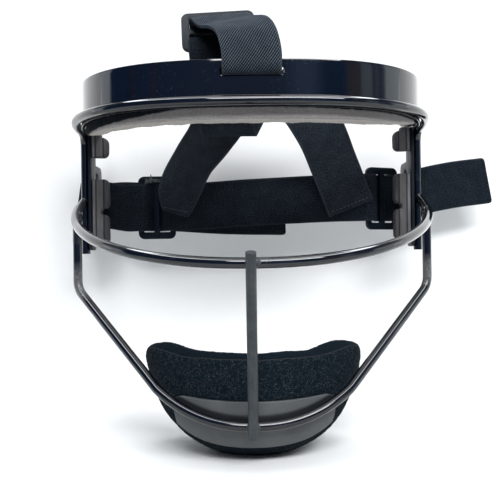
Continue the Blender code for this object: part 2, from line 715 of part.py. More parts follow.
def on_crown_buckle(along, out):
    """A point beside the crown buckle: along its short side, upwards, and out from its front face."""
    up = Vector((0, math.cos(CROWN_TILT), math.sin(CROWN_TILT)))
    front = Vector((0, -math.sin(CROWN_TILT), math.cos(CROWN_TILT)))
    return crown_buckle_middle + up * along + front * out


def crown_strap(material):
    """From the seam with the V straps down behind the brow pad, and up to the lower bar of the crown buckle."""
    front = brow_front + pad_inset + BROW_PAD_FRONT + STRAP_WALL / 2 + STRAP_WALL * 2
    seam = v_top_y - STRAP_WALL - CLEAR
    mid_x = (V_LEFT_TOP_X + V_RIGHT_TOP_X) / 2
    fall = v_top - crown_sag
    bar = (BUCKLE_WIDTH - BUCKLE_BAR) / 2
    swing = BUCKLE_WALL / 2 + STRAP_WALL / 2 + CLEAR * 2
    points = [
        (mid_x, seam, v_top),
        (mid_x, seam, v_top - fall * 0.3),
        (mix(mid_x, crown_buckle_middle.x, 0.5), mix(seam, front, 0.12), crown_sag + fall * 0.36),
        (mix(mid_x, crown_buckle_middle.x, 0.72), mix(seam, front, 0.3), crown_sag + fall * 0.08),
        (mix(mid_x, crown_buckle_middle.x, 0.78), mix(seam, front, 0.5), crown_sag),
        (mix(mid_x, crown_buckle_middle.x, 0.82), mix(seam, front, 0.76), crown_sag + fall * 0.1),
        (mix(mid_x, crown_buckle_middle.x, 0.9), front, crown_sag + fall * 0.5),
        (mix(mid_x, crown_buckle_middle.x, 0.98), mix(front, crown_buckle_middle.y, 0.25), v_top - STRAP_WALL * 2),
        on_crown_buckle(-bar - STRAP_WALL, swing * 1.1),
        on_crown_buckle(-bar * 0.76, swing * 0.98),
        on_crown_buckle(-bar * 0.52, swing * 0.2),
        on_crown_buckle(-bar * 0.52, -swing * 0.5),
    ]
    path = smooth_path(points, 4)
    return ribbon("crown_strap", path, [Vector((1, 0, 0))] * len(path), material)


def brow_loop(material):
    """The strap that joins the crown buckle to the slot of the brow plate: out over the front and back inside."""
    slot_z = plate_top - SLOT_DROP
    wall = brow_front + plate_inset
    lift = crown_buckle_middle.z - plate_top
    swing = BUCKLE_WALL / 2 + STRAP_WALL / 2 + CLEAR * 2
    hole = BUCKLE_WIDTH / 4
    c = crown_buckle_middle
    rows = (
        ((SLOT_X + STRAP_WALL * 0.333, wall + PLATE_WALL + STRAP_WALL * 2, plate_top + STRAP_WALL * 0.667), 0),
        ((SLOT_X, wall + PLATE_WALL + STRAP_WALL * 1.867, slot_z + STRAP_WALL * 2), 0),
        ((SLOT_X, wall + PLATE_WALL + STRAP_WALL * 0.533, slot_z), 0),
        ((SLOT_X, wall - STRAP_WALL * 1.067, slot_z + STRAP_WALL * 0.067), 0),
        ((SLOT_X, wall - STRAP_WALL * 2.667, slot_z + STRAP_WALL * 1.467), 0),
        ((SLOT_X, wall - STRAP_WALL * 3.267, plate_top + STRAP_WALL * 0.333), 0),
        ((mix(SLOT_X, c.x, 0.12), wall - STRAP_WALL * 2.4, plate_top + lift * 0.5), 3),
        ((mix(SLOT_X, c.x, 0.36), mix(wall, c.y, 0.2), plate_top + lift * 0.86), 9),
        ((mix(SLOT_X, c.x, 0.72), mix(wall, c.y, 0.55), plate_top + lift * 1.04), 9),
        (on_crown_buckle(hole * 0.95, swing * 1.4), 4),
        (on_crown_buckle(hole * 0.8, -swing * 0.4), 3),
        (on_crown_buckle(hole * 0.2, -swing * 1.1), 3),
        (on_crown_buckle(-hole * 0.5, -swing * 0.95), 3),
    )
    path = smooth_path([point for point, _ in rows], 3)
    rolls = smooth_path([(k, math.radians(row[1]), 0) for k, row in enumerate(rows)], 3)
    return ribbon("brow_loop", path, [Vector((math.cos(r.y), 0, math.sin(r.y))) for r in rolls], material)


def crown_buckle(material):
    """Nearly hangs behind the brow loop, with its bars across the strap."""
    thing = buckle("crown_buckle", material)
    turn = Matrix.Rotation(CROWN_TILT, 4, "X") @ Matrix.Rotation(math.pi / 2 + CROWN_ROLL, 4, "Z")
    thing.matrix_world = Matrix.Translation(crown_buckle_middle) @ turn
    return thing


clear_scene()
gloss_black = finish("gloss_black", (0.012, 0.012, 0.014), 0.12)
plate_grey = finish("plate_grey", (0.06, 0.056, 0.056), 0.45)
foam = finish("foam", (0.03, 0.03, 0.032), 0.9)
side_foam = finish("side_foam", (0.1, 0.09, 0.09), 0.8)
webbing = finish("webbing", (0.02, 0.022, 0.025), 0.85)
moulding = finish("moulding", (0.015, 0.015, 0.017), 0.35)

cage(gloss_black)
brow_plate(gloss_black)
brow_pad(foam)
for which in SIDES:
    side_plate(which, plate_grey)
    side_pad("side_pad", which, BROW_HEIGHT - SIDE_PAD_DROP, SIDE_PAD_HEIGHT, 2, side_foam)
    side_pad("temple_pad", which, BROW_HEIGHT - TEMPLE_PAD_DROP, TEMPLE_PAD_HEIGHT, 1, side_foam)
chin_pad(foam)
chin_plate(plate_grey)
back_strap(webbing)
left_foot = (left_buckle.x + V_LEFT_FOOT[0], strap_bottom + V_LEFT_FOOT[1])
right_foot = (right_buckle.x - V_RIGHT_FOOT[0], strap_bottom + V_RIGHT_FOOT[1])
v_strap("v_strap_left", left_foot, V_LEFT_TOP_X, V_LEFT, 0, webbing)
v_strap("v_strap_right", right_foot, V_RIGHT_TOP_X, V_RIGHT, 1, webbing)
crown_strap(webbing)
brow_loop(webbing)
back_buckle("buckle_left", left_buckle, 0, moulding)
back_buckle("buckle_right", right_buckle, BUCKLE_RIGHT_TURN, moulding)
crown_buckle(moulding)
bpy.context.view_layer.update()
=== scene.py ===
from math import copysign, cos, degrees, hypot, pi, radians, sin, sqrt, tan

import bmesh
import bpy
from mathutils import Matrix, Vector, noise


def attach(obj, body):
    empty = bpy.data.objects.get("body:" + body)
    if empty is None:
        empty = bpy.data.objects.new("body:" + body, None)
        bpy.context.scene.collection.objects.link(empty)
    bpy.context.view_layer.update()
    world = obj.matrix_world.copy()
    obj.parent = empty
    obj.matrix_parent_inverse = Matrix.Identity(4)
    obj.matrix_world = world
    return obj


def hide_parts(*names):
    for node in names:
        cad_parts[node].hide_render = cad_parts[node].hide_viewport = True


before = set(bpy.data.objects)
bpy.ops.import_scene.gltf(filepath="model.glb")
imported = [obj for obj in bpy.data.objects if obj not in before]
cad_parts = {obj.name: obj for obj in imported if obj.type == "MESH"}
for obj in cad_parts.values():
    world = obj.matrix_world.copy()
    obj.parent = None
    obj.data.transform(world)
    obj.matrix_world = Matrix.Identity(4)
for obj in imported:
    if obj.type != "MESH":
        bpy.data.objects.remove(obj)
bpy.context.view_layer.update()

MM = 0.001
SIDES = (-1, 1)

# The place the mask stands in: a white floor that curves up behind, a bright surround behind and beside it, a
# dark room on the camera's side, large soft lights above and a white card at each side. The camera stands
# level, a little above the cheek rail, rolled by less than a degree.
CAMERA_PLACE = (-1.2 * MM, -356.0 * MM, 98.0 * MM)
CAMERA_ROLL = radians(-0.75)
CAMERA_LENS = 50.54
SWEEP_HALF_WIDTH = 0.6
SWEEP_AHEAD = 0.3
SWEEP_START = 20.0 * MM
SWEEP_BEND = 62.0 * MM
SWEEP_HEIGHT = 0.28
CARD_X = 0.64
ROOM_GAIN = 2.1


def deselect():
    bpy.ops.object.select_all(action="DESELECT")


def make_active(piece):
    deselect()
    piece.select_set(True)
    bpy.context.view_layer.objects.active = piece


def finish(name, colour, roughness, gleam=0.5):
    """A new material. Its plain values are set on its shader, and the nodes that follow are added to it."""
    global in_hand
    made = bpy.data.materials.new(name)
    made.use_nodes = True
    in_hand = made.node_tree
    shader = in_hand.nodes["Principled BSDF"]
    shader.inputs["Base Color"].default_value = (*colour, 1)
    shader.inputs["Roughness"].default_value = roughness
    shader.inputs["Specular IOR Level"].default_value = gleam
    return made


def node(kind, out=0, inputs=(), **settings):
    """Adds a shader node, feeds its inputs with numbers or other nodes' outputs, and gives one output."""
    made = in_hand.nodes.new("ShaderNode" + kind)
    for key, value in settings.items():
        setattr(made, key, value)
    for key, value in dict(inputs).items():
        if isinstance(value, bpy.types.NodeSocket):
            in_hand.links.new(value, made.inputs[key])
        else:
            made.inputs[key].default_value = value
    return made.outputs[out]


def feed(socket, source):
    in_hand.links.new(source, in_hand.nodes["Principled BSDF"].inputs[socket])


def place_of(stretch=(1, 1, 1)):
    """The point on the piece, in metres, stretched for a pattern."""
    return node("Mapping", 0, {"Vector": node("TexCoord", "Object"), "Scale": stretch})


def apart(vector):
    """The x, y and z of a vector."""
    return node("SeparateXYZ", 0, {0: vector}).node.outputs


def grain(place, scale, detail=3.0, rough=0.6):
    return node("TexNoise", 0, {"Vector": place, "Scale": scale, "Detail": detail, "Roughness": rough})


def between(value, low, high, start=0.0, end=1.0):
    """Turns low..high of a value into start..end, with the ends held."""
    feeds = {"Value": value, "From Min": low, "From Max": high, "To Min": start, "To Max": end}
    return node("MapRange", 0, feeds)


def sums(operation, a, b=0.0):
    return node("Math", 0, {0: a, 1: b}, operation=operation)


def plus(a, b):
    return sums("ADD", a, b)


def times(a, b):
    return sums("MULTIPLY", a, b)


def tint(share, first, second):
    """A colour between two colours."""
    feeds = {0: share}
    for key, colour in ((6, first), (7, second)):
        feeds[key] = colour if isinstance(colour, bpy.types.NodeSocket) else (*colour, 1)
    return node("Mix", 2, feeds, data_type="RGBA")


def relief(height, depth, strength=1.0, after=None):
    """Bump from a height between 0 and 1 that stands depth metres high."""
    feeds = {"Height": height, "Distance": depth, "Strength": strength}
    if after is not None:
        feeds["Normal"] = after
    return node("Bump", 0, feeds)


def named(name):
    made = bpy.context.object
    made.name = made.data.name = name
    return made


def edit_all():
    bpy.ops.object.mode_set(mode="EDIT")
    bpy.ops.mesh.select_all(action="SELECT")


def object_mode():
    bpy.ops.object.mode_set(mode="OBJECT")


def pick(piece, kind, test):
    """In edit mode, selects the vertices, edges or faces that pass a test."""
    bpy.ops.mesh.select_mode(type=kind)
    bpy.ops.mesh.select_all(action="DESELECT")
    bm = bmesh.from_edit_mesh(piece.data)
    for part in {"VERT": bm.verts, "EDGE": bm.edges, "FACE": bm.faces}[kind]:
        part.select_set(test(part))
    bm.select_flush_mode()
    bmesh.update_edit_mesh(piece.data)


paper = finish("paper", (0.895, 0.912, 0.925), 0.9)
feed("Normal", relief(grain(place_of(), 300), 0.05 * MM, 0.2))
front_face = in_hand.nodes["Principled BSDF"].outputs[0]
clear, from_behind = node("BsdfTransparent"), node("NewGeometry", "Backfacing")
one_way = node("MixShader", 0, {0: from_behind, 1: front_face, 2: clear})
in_hand.links.new(one_way, in_hand.nodes["Material Output"].inputs["Surface"])

deselect()
bpy.ops.mesh.primitive_plane_add(size=2, location=(0, 0, 0))
sweep = bpy.context.object
sweep.name = "paper_sweep"
edit_all()
bpy.ops.transform.resize(value=(SWEEP_HALF_WIDTH, (SWEEP_START + SWEEP_AHEAD) / 2, 1))
bpy.ops.transform.translate(value=(0, (SWEEP_START - SWEEP_AHEAD) / 2, 0))
pick(sweep, "EDGE", lambda edge: all(v.co.y > SWEEP_START - MM for v in edge.verts))
bpy.ops.mesh.spin(steps=24, angle=-pi / 2, center=(0, SWEEP_START, SWEEP_BEND), axis=(1, 0, 0))
bpy.ops.mesh.extrude_region_move(TRANSFORM_OT_translate={"value": (0, 0, SWEEP_HEIGHT)})
object_mode()
sweep.data.shade_smooth()
sweep.data.materials.append(paper)

surround = bpy.data.worlds.new("surround")
surround.use_nodes = True
bpy.context.scene.world = surround
in_hand = surround.node_tree
in_hand.nodes.clear()

# What the gloss reflects: the turn from straight ahead, in degrees, and the colour there.
ROOM = (
    (-180, 0.85, 0.91, 0.98), (-86, 0.85, 0.91, 0.98), (-84, 0.023, 0.06, 0.15), (-62, 0.03, 0.06, 0.15),
    (-59, 0.07, 0.06, 0.1), (-56, 0.03, 0.07, 0.17), (-44, 0.05, 0.08, 0.19), (-41, 0.09, 0.08, 0.12),
    (-38, 0.05, 0.087, 0.2), (0, 0.077, 0.107, 0.2), (9, 0.08, 0.115, 0.22), (14, 0.15, 0.22, 0.4),
    (20, 0.15, 0.22, 0.4), (28, 0.04, 0.085, 0.19), (39, 0.033, 0.08, 0.183), (44, 0.15, 0.14, 0.17),
    (52, 0.17, 0.15, 0.16), (55, 0.35, 0.41, 0.5), (63, 0.35, 0.41, 0.5), (64.5, 0.1, 0.12, 0.2),
    (69, 0.22, 0.25, 0.35), (72, 0.1, 0.12, 0.2), (77, 0.2, 0.23, 0.33), (80, 0.8, 0.88, 0.96),
    (180, 0.8, 0.88, 0.96),
)
x, y, z = apart(node("TexCoord", "Generated"))
walls = node("ValToRGB", 0, {0: between(sums("ARCTAN2", x, times(y, -1.0)), -pi, pi)})
ramp = walls.node.color_ramp
for turn, *colour in ROOM[1:-1]:
    ramp.elements.new(turn / 360 + 0.5).color = (*colour, 1)
ramp.elements[0].color, ramp.elements[-1].color = (*ROOM[0][1:], 1), (*ROOM[-1][1:], 1)
bright = node("VectorMath", 0, {0: walls, 1: [ROOM_GAIN] * 3}, operation="MULTIPLY")
behind = between(y, -0.02, 0.04)
above = tint(behind, (0.1, 0.14, 0.24), (0.4, 0.43, 0.48))
room = tint(between(sums("ABSOLUTE", z), 0.32, 0.5), bright, above)
ring = times(between(z, 0.8, 0.82), between(z, 0.88, 0.9, 1, 0))
room = tint(ring, room, (15.0, 15.8, 16.6))
plain = tint(behind, (0.09, 0.098, 0.105), (0.7, 0.72, 0.74))
room = tint(node("LightPath", "Is Diffuse Ray"), room, plain)
shown = tint(node("LightPath", "Is Camera Ray"), room, (1.0, 1.0, 1.0))
glow = node("Background", 0, {"Color": shown, "Strength": 1.0})
in_hand.links.new(glow, in_hand.nodes.new("ShaderNodeOutputWorld").inputs["Surface"])
surround.cycles.sampling_method = "NONE"


def soft_box(name, place, aim, width, height, power):
    deselect()
    bpy.ops.object.light_add(type="AREA", location=place)
    lamp = bpy.context.object
    lamp.name = name
    lamp.data.shape = "RECTANGLE"
    lamp.data.size, lamp.data.size_y = width, height
    lamp.data.energy = power
    lamp.rotation_euler = (Vector(aim) - Vector(place)).to_track_quat("-Z", "Y").to_euler()
    return lamp


soft_box("key_light", (0.22, -0.85, 0.78), (0, 0.03, 0.1), 0.9, 0.28, 15.6)
soft_box("ceiling_light", (0.0, -0.1, 1.1), (0, 0.0, 0.0), 0.9, 0.7, 4.4)
for side in SIDES:
    card = soft_box("white_card", (side * CARD_X, 0.079, 0.17), (side * CARD_X, -1, 0.17), 1.06, 0.3, 0.95)
    card.visible_diffuse = card.visible_camera = False

deselect()
bpy.ops.object.camera_add(location=CAMERA_PLACE)
camera = bpy.context.object
level = Matrix.Rotation(pi / 2, 3, "X") @ Matrix.Rotation(CAMERA_ROLL, 3, "Z")
camera.rotation_euler = level.to_euler()
camera.data.lens = CAMERA_LENS
camera.data.clip_start = 0.01
bpy.context.scene.camera = camera
bpy.context.scene.view_settings.view_transform = "Standard"

# Cage: 3/16 inch steel rod, bent cold and welded where the rods cross, then dipped in a gloss black coat.
# The brow rail turns down into the two side rods, the cheek rail crosses the face, and the jaw rail runs
# from it down both sides and under the chin. The coat is scuffed in places and dull at the cheek rail's left.
ROD_RADIUS = 2.4 * MM
ROD_STEP = 1.6 * MM
HALF_WIDTH = 95.2 * MM
SIDE_ROD_Y = 47.0 * MM
SIDE_ROD_LENGTH = 69.0 * MM
BROW_HEIGHT = 166.0 * MM
BROW_DEPTH = 85.0 * MM
BROW_SQUARENESS = 2.6
BROW_BEND = 8.0 * MM
CHEEK_HEIGHT = 92.7 * MM
CHEEK_DEPTH = 118.5 * MM
CHEEK_RISE = 34.3 * MM
CHEEK_SQUARENESS = 2.15
CHEEK_SPREAD = 0.7 * MM
JAW_Y = 16.0 * MM
JAW_BEND_HEIGHT = 78.4 * MM
JAW_BEND = 9.0 * MM
JAW_INSET = 0.6 * MM
CHIN_HEIGHT = 19.5 * MM
CHIN_RISE = 13.9 * MM
CHIN_BEND_SHARE = 0.76
CUP_FRONT = 39.0 * MM
CUP_SIDE = 54.0 * MM
CHIN_PLATE_WALL = 2.0 * MM
CHIN_PLATE_AIR = 0.6 * MM
CLEAR = 0.35 * MM
ROD_EDGE = 0.5 * MM
BEAD_DROP = 1.5 * MM
BEAD_ROUGHNESS = 0.12 * MM
DULL_LEFT = (-90 * MM, -78 * MM)
DULL_AHEAD = (41 * MM, 43.5 * MM)
DULL_ABOVE = (100 * MM, 103 * MM)

brow_front = SIDE_ROD_Y - BROW_DEPTH
cheek_back = SIDE_ROD_Y + ROD_RADIUS / 2
cheek_front = cheek_back - CHEEK_DEPTH
cheek_half_width = HALF_WIDTH + CHEEK_SPREAD
chin_reach = CHIN_PLATE_AIR + CHIN_PLATE_WALL + CLEAR + ROD_RADIUS


def mix(a, b, share):
    return a + (b - a) * share


def rounded_corner(before, corner, after, radius, steps=14):
    """Points of an arc that replaces a corner of a route."""
    into, out = (before - corner).normalized(), (after - corner).normalized()
    half = into.angle(out) / 2
    reach = radius / tan(half)
    centre = corner + (into + out).normalized() * (radius / sin(half))
    start, end = corner + into * reach - centre, corner + out * reach - centre
    turn = start.angle(end)
    points = []
    for t in (k / steps for k in range(steps + 1)):
        points.append(centre + (start * sin(turn * (1 - t)) + end * sin(turn * t)) / sin(turn))
    return points


def bent_plan(half_width, front, back, squareness, count=400):
    """Plan points of a rail bent round the face, from the left side to the right."""
    points = []
    for k in range(count + 1):
        angle = pi * k / count
        across = -copysign(abs(cos(angle)) ** (2 / squareness), cos(angle))
        forward = sin(angle) ** (2 / squareness) if 0 < k < count else 0.0
        points.append(Vector((half_width * across, back - (back - front) * forward, 0)))
    return points


def even_steps(route, step):
    """Points along a route at even steps, with both its ends kept."""
    reach = [0.0]
    for a, b in zip(route, route[1:]):
        reach.append(reach[-1] + (b - a).length)
    count = max(round(reach[-1] / step), 2)
    points, k = [], 0
    for number in range(count):
        want = reach[-1] * number / count
        while reach[k + 1] < want:
            k += 1
        points.append(route[k].lerp(route[k + 1], (want - reach[k]) / (reach[k + 1] - reach[k])))
    return [*points, route[-1].copy()]


def bent_rod(name, route, radius, step=ROD_STEP):
    """A round rod bent along a route, its cut ends eased."""
    deselect()
    bpy.ops.curve.primitive_nurbs_path_add()
    rod = named(name)
    rod.data.splines.clear()
    points = even_steps([Vector(p) for p in route], step)
    line = rod.data.splines.new("POLY")
    line.points.add(len(points) - 1)
    for target, p in zip(line.points, points):
        target.co = (*p, 1)
    rod.data.twist_mode = "MINIMUM"
    rod.data.bevel_depth = radius
    rod.data.bevel_resolution = 5
    rod.data.use_fill_caps = True
    bpy.ops.object.convert(target="MESH")
    rod = bpy.context.object
    edit_all()
    bpy.ops.mesh.remove_doubles(threshold=0.001 * MM)
    bpy.ops.mesh.normals_make_consistent(inside=False)
    pick(rod, "FACE", lambda face: len(face.verts) > 6)
    bpy.ops.mesh.bevel(offset=ROD_EDGE, segments=3, affect="EDGES")
    object_mode()
    rod.data.shade_smooth()
    bpy.ops.object.shade_smooth_by_angle(angle=radians(50))
    return rod


def join(name, pieces):
    make_active(pieces[0])
    for piece in pieces:
        piece.select_set(True)
    bpy.ops.object.join()
    pieces[0].name = pieces[0].data.name = name
    return pieces[0]


def apply_all(piece):
    make_active(piece)
    for modifier in list(piece.modifiers):
        bpy.ops.object.modifier_apply(modifier=modifier.name)


def cheek_height_at(y):
    return CHEEK_HEIGHT + CHEEK_RISE * (y - cheek_front) / CHEEK_DEPTH


def cheek_half_width_at(y):
    share = ((cheek_back - y) / CHEEK_DEPTH) ** CHEEK_SQUARENESS
    return cheek_half_width * (1 - share) ** (1 / CHEEK_SQUARENESS)


brow_plan = bent_plan(HALF_WIDTH, brow_front, SIDE_ROD_Y, BROW_SQUARENESS)
level_part = [Vector((p.x, p.y, BROW_HEIGHT)) for p in brow_plan if p.y < SIDE_ROD_Y - BROW_BEND]
ends = []
for side in SIDES:
    corner = Vector((side * HALF_WIDTH, SIDE_ROD_Y, BROW_HEIGHT))
    below = corner - Vector((0, 0, SIDE_ROD_LENGTH))
    ahead = corner - Vector((0, BROW_DEPTH / 2, 0))
    ends.append([below, *rounded_corner(below, corner, ahead, BROW_BEND)])
brow_rail = bent_rod("brow_rail", [*ends[0], *level_part, *reversed(ends[1])], ROD_RADIUS)

cheek_plan = bent_plan(cheek_half_width, cheek_front, cheek_back, CHEEK_SQUARENESS)
cheek_route = [(p.x, p.y, cheek_height_at(p.y)) for p in cheek_plan]
cheek_rail = bent_rod("cheek_rail", cheek_route, ROD_RADIUS)

half, front = CUP_SIDE + chin_reach, CUP_FRONT + chin_reach
chin_bend = []
for k in range(-60, 61):
    x = half * CHIN_BEND_SHARE * k / 60
    rise = CHIN_RISE * abs(k / 60) ** 2.3
    chin_bend.append(Vector((x, -front * sqrt(1 - (x / half) ** 2), CHIN_HEIGHT + rise)))
jaw_x = cheek_half_width_at(JAW_Y) - JAW_INSET
arms = []
for side in SIDES:
    top = Vector((side * jaw_x, JAW_Y, cheek_height_at(JAW_Y)))
    corner = Vector((side * jaw_x, JAW_Y, JAW_BEND_HEIGHT))
    arms.append([top, *rounded_corner(top, corner, chin_bend[0 if side < 0 else -1], JAW_BEND)])
jaw_rail = bent_rod("jaw_rail", [*arms[0], *chin_bend, *reversed(arms[1])], ROD_RADIUS)


def weld_bead(name, place, along, radius, length):
    """A bead of weld round a joint: a ball, drawn out along one rod and roughened a little."""
    deselect()
    bpy.ops.mesh.primitive_ico_sphere_add(subdivisions=4, radius=radius, location=(0, 0, 0))
    bead = named(name)
    turn = Vector(along).to_track_quat("Z", "Y").to_matrix().to_4x4()
    bead.data.transform(Matrix.Translation(place) @ turn @ Matrix.Diagonal((1, 1, length, 1)))
    edit_all()
    bpy.ops.transform.vertex_random(offset=BEAD_ROUGHNESS, seed=3)
    bpy.ops.mesh.vertices_smooth(factor=0.5, repeat=3)
    object_mode()
    bead.data.shade_smooth()
    return bead


beads = []
for side in SIDES:
    meet = Vector((side * HALF_WIDTH, SIDE_ROD_Y, cheek_height_at(SIDE_ROD_Y)))
    beads.append(weld_bead("bead", meet, (0, 1, 0.29), ROD_RADIUS * 1.28, 1.35))
    meet = Vector((side * jaw_x, JAW_Y, cheek_height_at(JAW_Y) - BEAD_DROP))
    beads.append(weld_bead("bead", meet, (0, 0, 1), ROD_RADIUS * 1.22, 1.4))
cage = join("cage_rods", [brow_rail, cheek_rail, jaw_rail, *beads])

black_coat = finish("black_coat", (0.003, 0.004, 0.007), 0.12)
place = place_of()
pits = grain(place, 2600, 4.0, 0.7)
worn = times(between(grain(place, 55), 0.58, 0.7, 0, 0.4), between(pits, 0.5, 0.62))
for spot, reach in (((84, -8, 50), 16), ((-93, 16, 80), 14), ((93, 16, 86), 10), ((-60, -20, 30), 10)):
    away = node("VectorMath", "Value", {0: place, 1: Vector(spot) * MM}, operation="DISTANCE")
    near = between(away, reach * 0.35 * MM, reach * MM, 1.0, 0.0)
    worn = sums("MAXIMUM", worn, times(near, between(pits, 0.36, 0.55)))
feed("Base Color", tint(worn, (0.001, 0.002, 0.004), (0.13, 0.13, 0.13)))
x, y, z = apart(place)
before_rods, above_jaw = between(y, *DULL_AHEAD, 1.0, 0.0), between(z, *DULL_ABOVE)
dulled = times(between(x, *DULL_LEFT, 0.36, 0.0), times(before_rods, above_jaw))
feed("Roughness", sums("MAXIMUM", between(worn, 0, 1, 0.07, 0.5), dulled))
orange_peel = relief(grain(place, 260, 1.0), 0.05 * MM, 0.35)
feed("Normal", relief(times(worn, pits), 0.04 * MM, 0.6, orange_peel))
cage.data.materials.append(black_coat)
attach(cage, "root")
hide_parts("cage")

# Nose bar: a thinner straight rod welded in front of the cheek rail and the chin bend, and cut off flat a
# little past both. Its coat is satin, rubbed grey along the front.
NOSE_ROD_RADIUS = 2.25 * MM
NOSE_OVERRUN = 4.7 * MM
NOSE_TOP_X = -0.9 * MM
NOSE_FOOT_X = -0.7 * MM
WELD = 0.9 * MM

off = ROD_RADIUS + NOSE_ROD_RADIUS - WELD
high = Vector((NOSE_TOP_X, cheek_front - off, CHEEK_HEIGHT))
low = Vector((NOSE_FOOT_X, -(CUP_FRONT + chin_reach) - off, CHIN_HEIGHT))
along = (high - low).normalized()
bar = bent_rod("nose_bar", [low - along * NOSE_OVERRUN, high + along * NOSE_OVERRUN], NOSE_ROD_RADIUS)
upper, lower = Vector((0, cheek_front - off * 0.45, CHEEK_HEIGHT)), low + Vector((0, off * 0.55, 0))
seams = [weld_bead("bead", spot, (1, 0, 0), ROD_RADIUS * 0.95, 1.5) for spot in (upper, lower)]
nose_bar = join("nose_bar", [bar, *seams])

satin_coat = finish("satin_coat", (0.02, 0.025, 0.03), 0.42, 0.2)
streak = grain(place_of((1, 1, 0.12)), 1400, 4.0, 0.7)
mottle = between(grain(place_of(), 160), 0.3, 0.7)
feed("Base Color", tint(mottle, (0.024, 0.03, 0.034), (0.044, 0.051, 0.057)))
feed("Roughness", between(streak, 0.3, 0.7, 0.36, 0.52))
feed("Normal", relief(streak, 0.03 * MM, 0.35))
nose_bar.data.materials.append(satin_coat)
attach(nose_bar, "root")
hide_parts("cage")

# Brow plate: a strip of gloss black plate, cut with a slot for the strap and then bent to the inside of the
# brow rail, which it stands on. It has fine upright polishing streaks, dust, and scuffs low at the left.
PLATE_WALL = 1.8 * MM
PLATE_HEIGHT = 22.0 * MM
PLATE_CORNER = 9.0 * MM
SLOT_X = 0.7 * MM
SLOT_WIDTH = 29.6 * MM
SLOT_HEIGHT = 3.8 * MM
SLOT_DROP = 5.6 * MM
SLOT_CORNER = 1.1 * MM
PLATE_EDGE = 0.35 * MM
PLATE_STEP = 1.3 * MM

plate_bottom = BROW_HEIGHT - ROD_RADIUS
plate_top = plate_bottom + PLATE_HEIGHT
plate_inset = ROD_RADIUS + CLEAR


def inset(points, distance):
    """Moves plan points towards the head, square to the line that they make."""
    moved = []
    for k, point in enumerate(points):
        along = points[min(k + 1, len(points) - 1)] - points[max(k - 1, 0)]
        moved.append(point + Vector((-along.y, along.x, 0)).normalized() * distance)
    return moved


def box(place, size):
    deselect()
    bpy.ops.mesh.primitive_cube_add(size=1, location=place)
    bpy.ops.transform.resize(value=size)
    bpy.ops.object.transform_apply(location=True, rotation=True, scale=True)
    return bpy.context.object


def block(place, size, way, corner, segments):
    """A box whose edges along one way, 0 to 2 for x to z, are rounded."""
    made = box(place, size)
    edit_all()
    pick(made, "EDGE", lambda edge: abs(edge.verts[0].co[way] - edge.verts[1].co[way]) > size[way] / 2)
    bpy.ops.mesh.bevel(offset=corner, segments=segments, affect="EDGES")
    object_mode()
    return made


def cut_away(piece, cutter):
    hole = piece.modifiers.new("cut", "BOOLEAN")
    hole.operation = "DIFFERENCE"
    hole.solver = "EXACT"
    hole.object = cutter
    apply_all(piece)
    bpy.data.objects.remove(cutter, do_unlink=True)


def ease_edges(piece, width, segments=3, angle=40):
    """Rounds the sharp edges and shades the rest smooth."""
    bevel = piece.modifiers.new("eased", "BEVEL")
    bevel.width = width
    bevel.segments = segments
    bevel.limit_method = "ANGLE"
    bevel.angle_limit = radians(angle)
    bevel.use_clamp_overlap = True
    apply_all(piece)
    piece.data.shade_smooth()
    bpy.ops.object.shade_smooth_by_angle(angle=radians(35))


def give_wall(piece, wall):
    solid = piece.modifiers.new("wall", "SOLIDIFY")
    solid.thickness = wall
    solid.offset = 0.0
    solid.use_even_offset = True
    apply_all(piece)


plate_plan = even_steps(inset(brow_plan, plate_inset + PLATE_WALL / 2), PLATE_STEP)
deselect()
bpy.ops.mesh.primitive_grid_add(x_subdivisions=len(plate_plan) - 1, y_subdivisions=10, size=2)
plate = named("brow_plate_bent")
for vertex in plate.data.vertices:
    p = plate_plan[round((vertex.co.x + 1) / 2 * (len(plate_plan) - 1))]
    back = max(SIDE_ROD_Y - p.y, 0.0)
    drop = PLATE_CORNER - sqrt(max(PLATE_CORNER**2 - max(PLATE_CORNER - back, 0.0) ** 2, 0.0))
    vertex.co = (p.x, p.y, mix(plate_bottom, plate_top - drop, (vertex.co.y + 1) / 2))
give_wall(plate, PLATE_WALL)
slot = (SLOT_WIDTH, PLATE_WALL * 11, SLOT_HEIGHT)
cut_away(plate, block((SLOT_X, brow_front, plate_top - SLOT_DROP), slot, 1, SLOT_CORNER, 5))
ease_edges(plate, PLATE_EDGE)

gloss_black = finish("gloss_black", (0.001, 0.002, 0.004), 0.06)
place = place_of()
x, y, z = apart(place)
polish = grain(place_of((1, 1, 0.05)), 900)
dust = times(between(grain(place, 2300, 2.0, 0.5), 0.7, 0.75), between(grain(place, 120, 2.0), 0.42, 0.6))
low_edge = between(z, plate_bottom + 3 * MM, plate_bottom + 7 * MM, 1.0, 0.0)
low_left = times(low_edge, between(x, -48 * MM, -64 * MM))
scuffs = between(grain(place_of((0.35, 0.35, 1)), 1300, 4.0, 0.7), 0.5, 0.66, 0.0, 0.45)
dust = sums("MAXIMUM", dust, times(low_left, scuffs))
feed("Base Color", tint(dust, (0.001, 0.002, 0.004), (0.085, 0.08, 0.085)))
smear = times(between(grain(place, 38), 0.4, 0.7), between(polish, 0.35, 0.7))
feed("Roughness", plus(between(smear, 0, 1, 0.05, 0.16), times(dust, 0.4)))
feed("Normal", relief(polish, 0.02 * MM, 0.12))
plate.data.materials.append(gloss_black)
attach(plate, "root")
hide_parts("brow_plate")

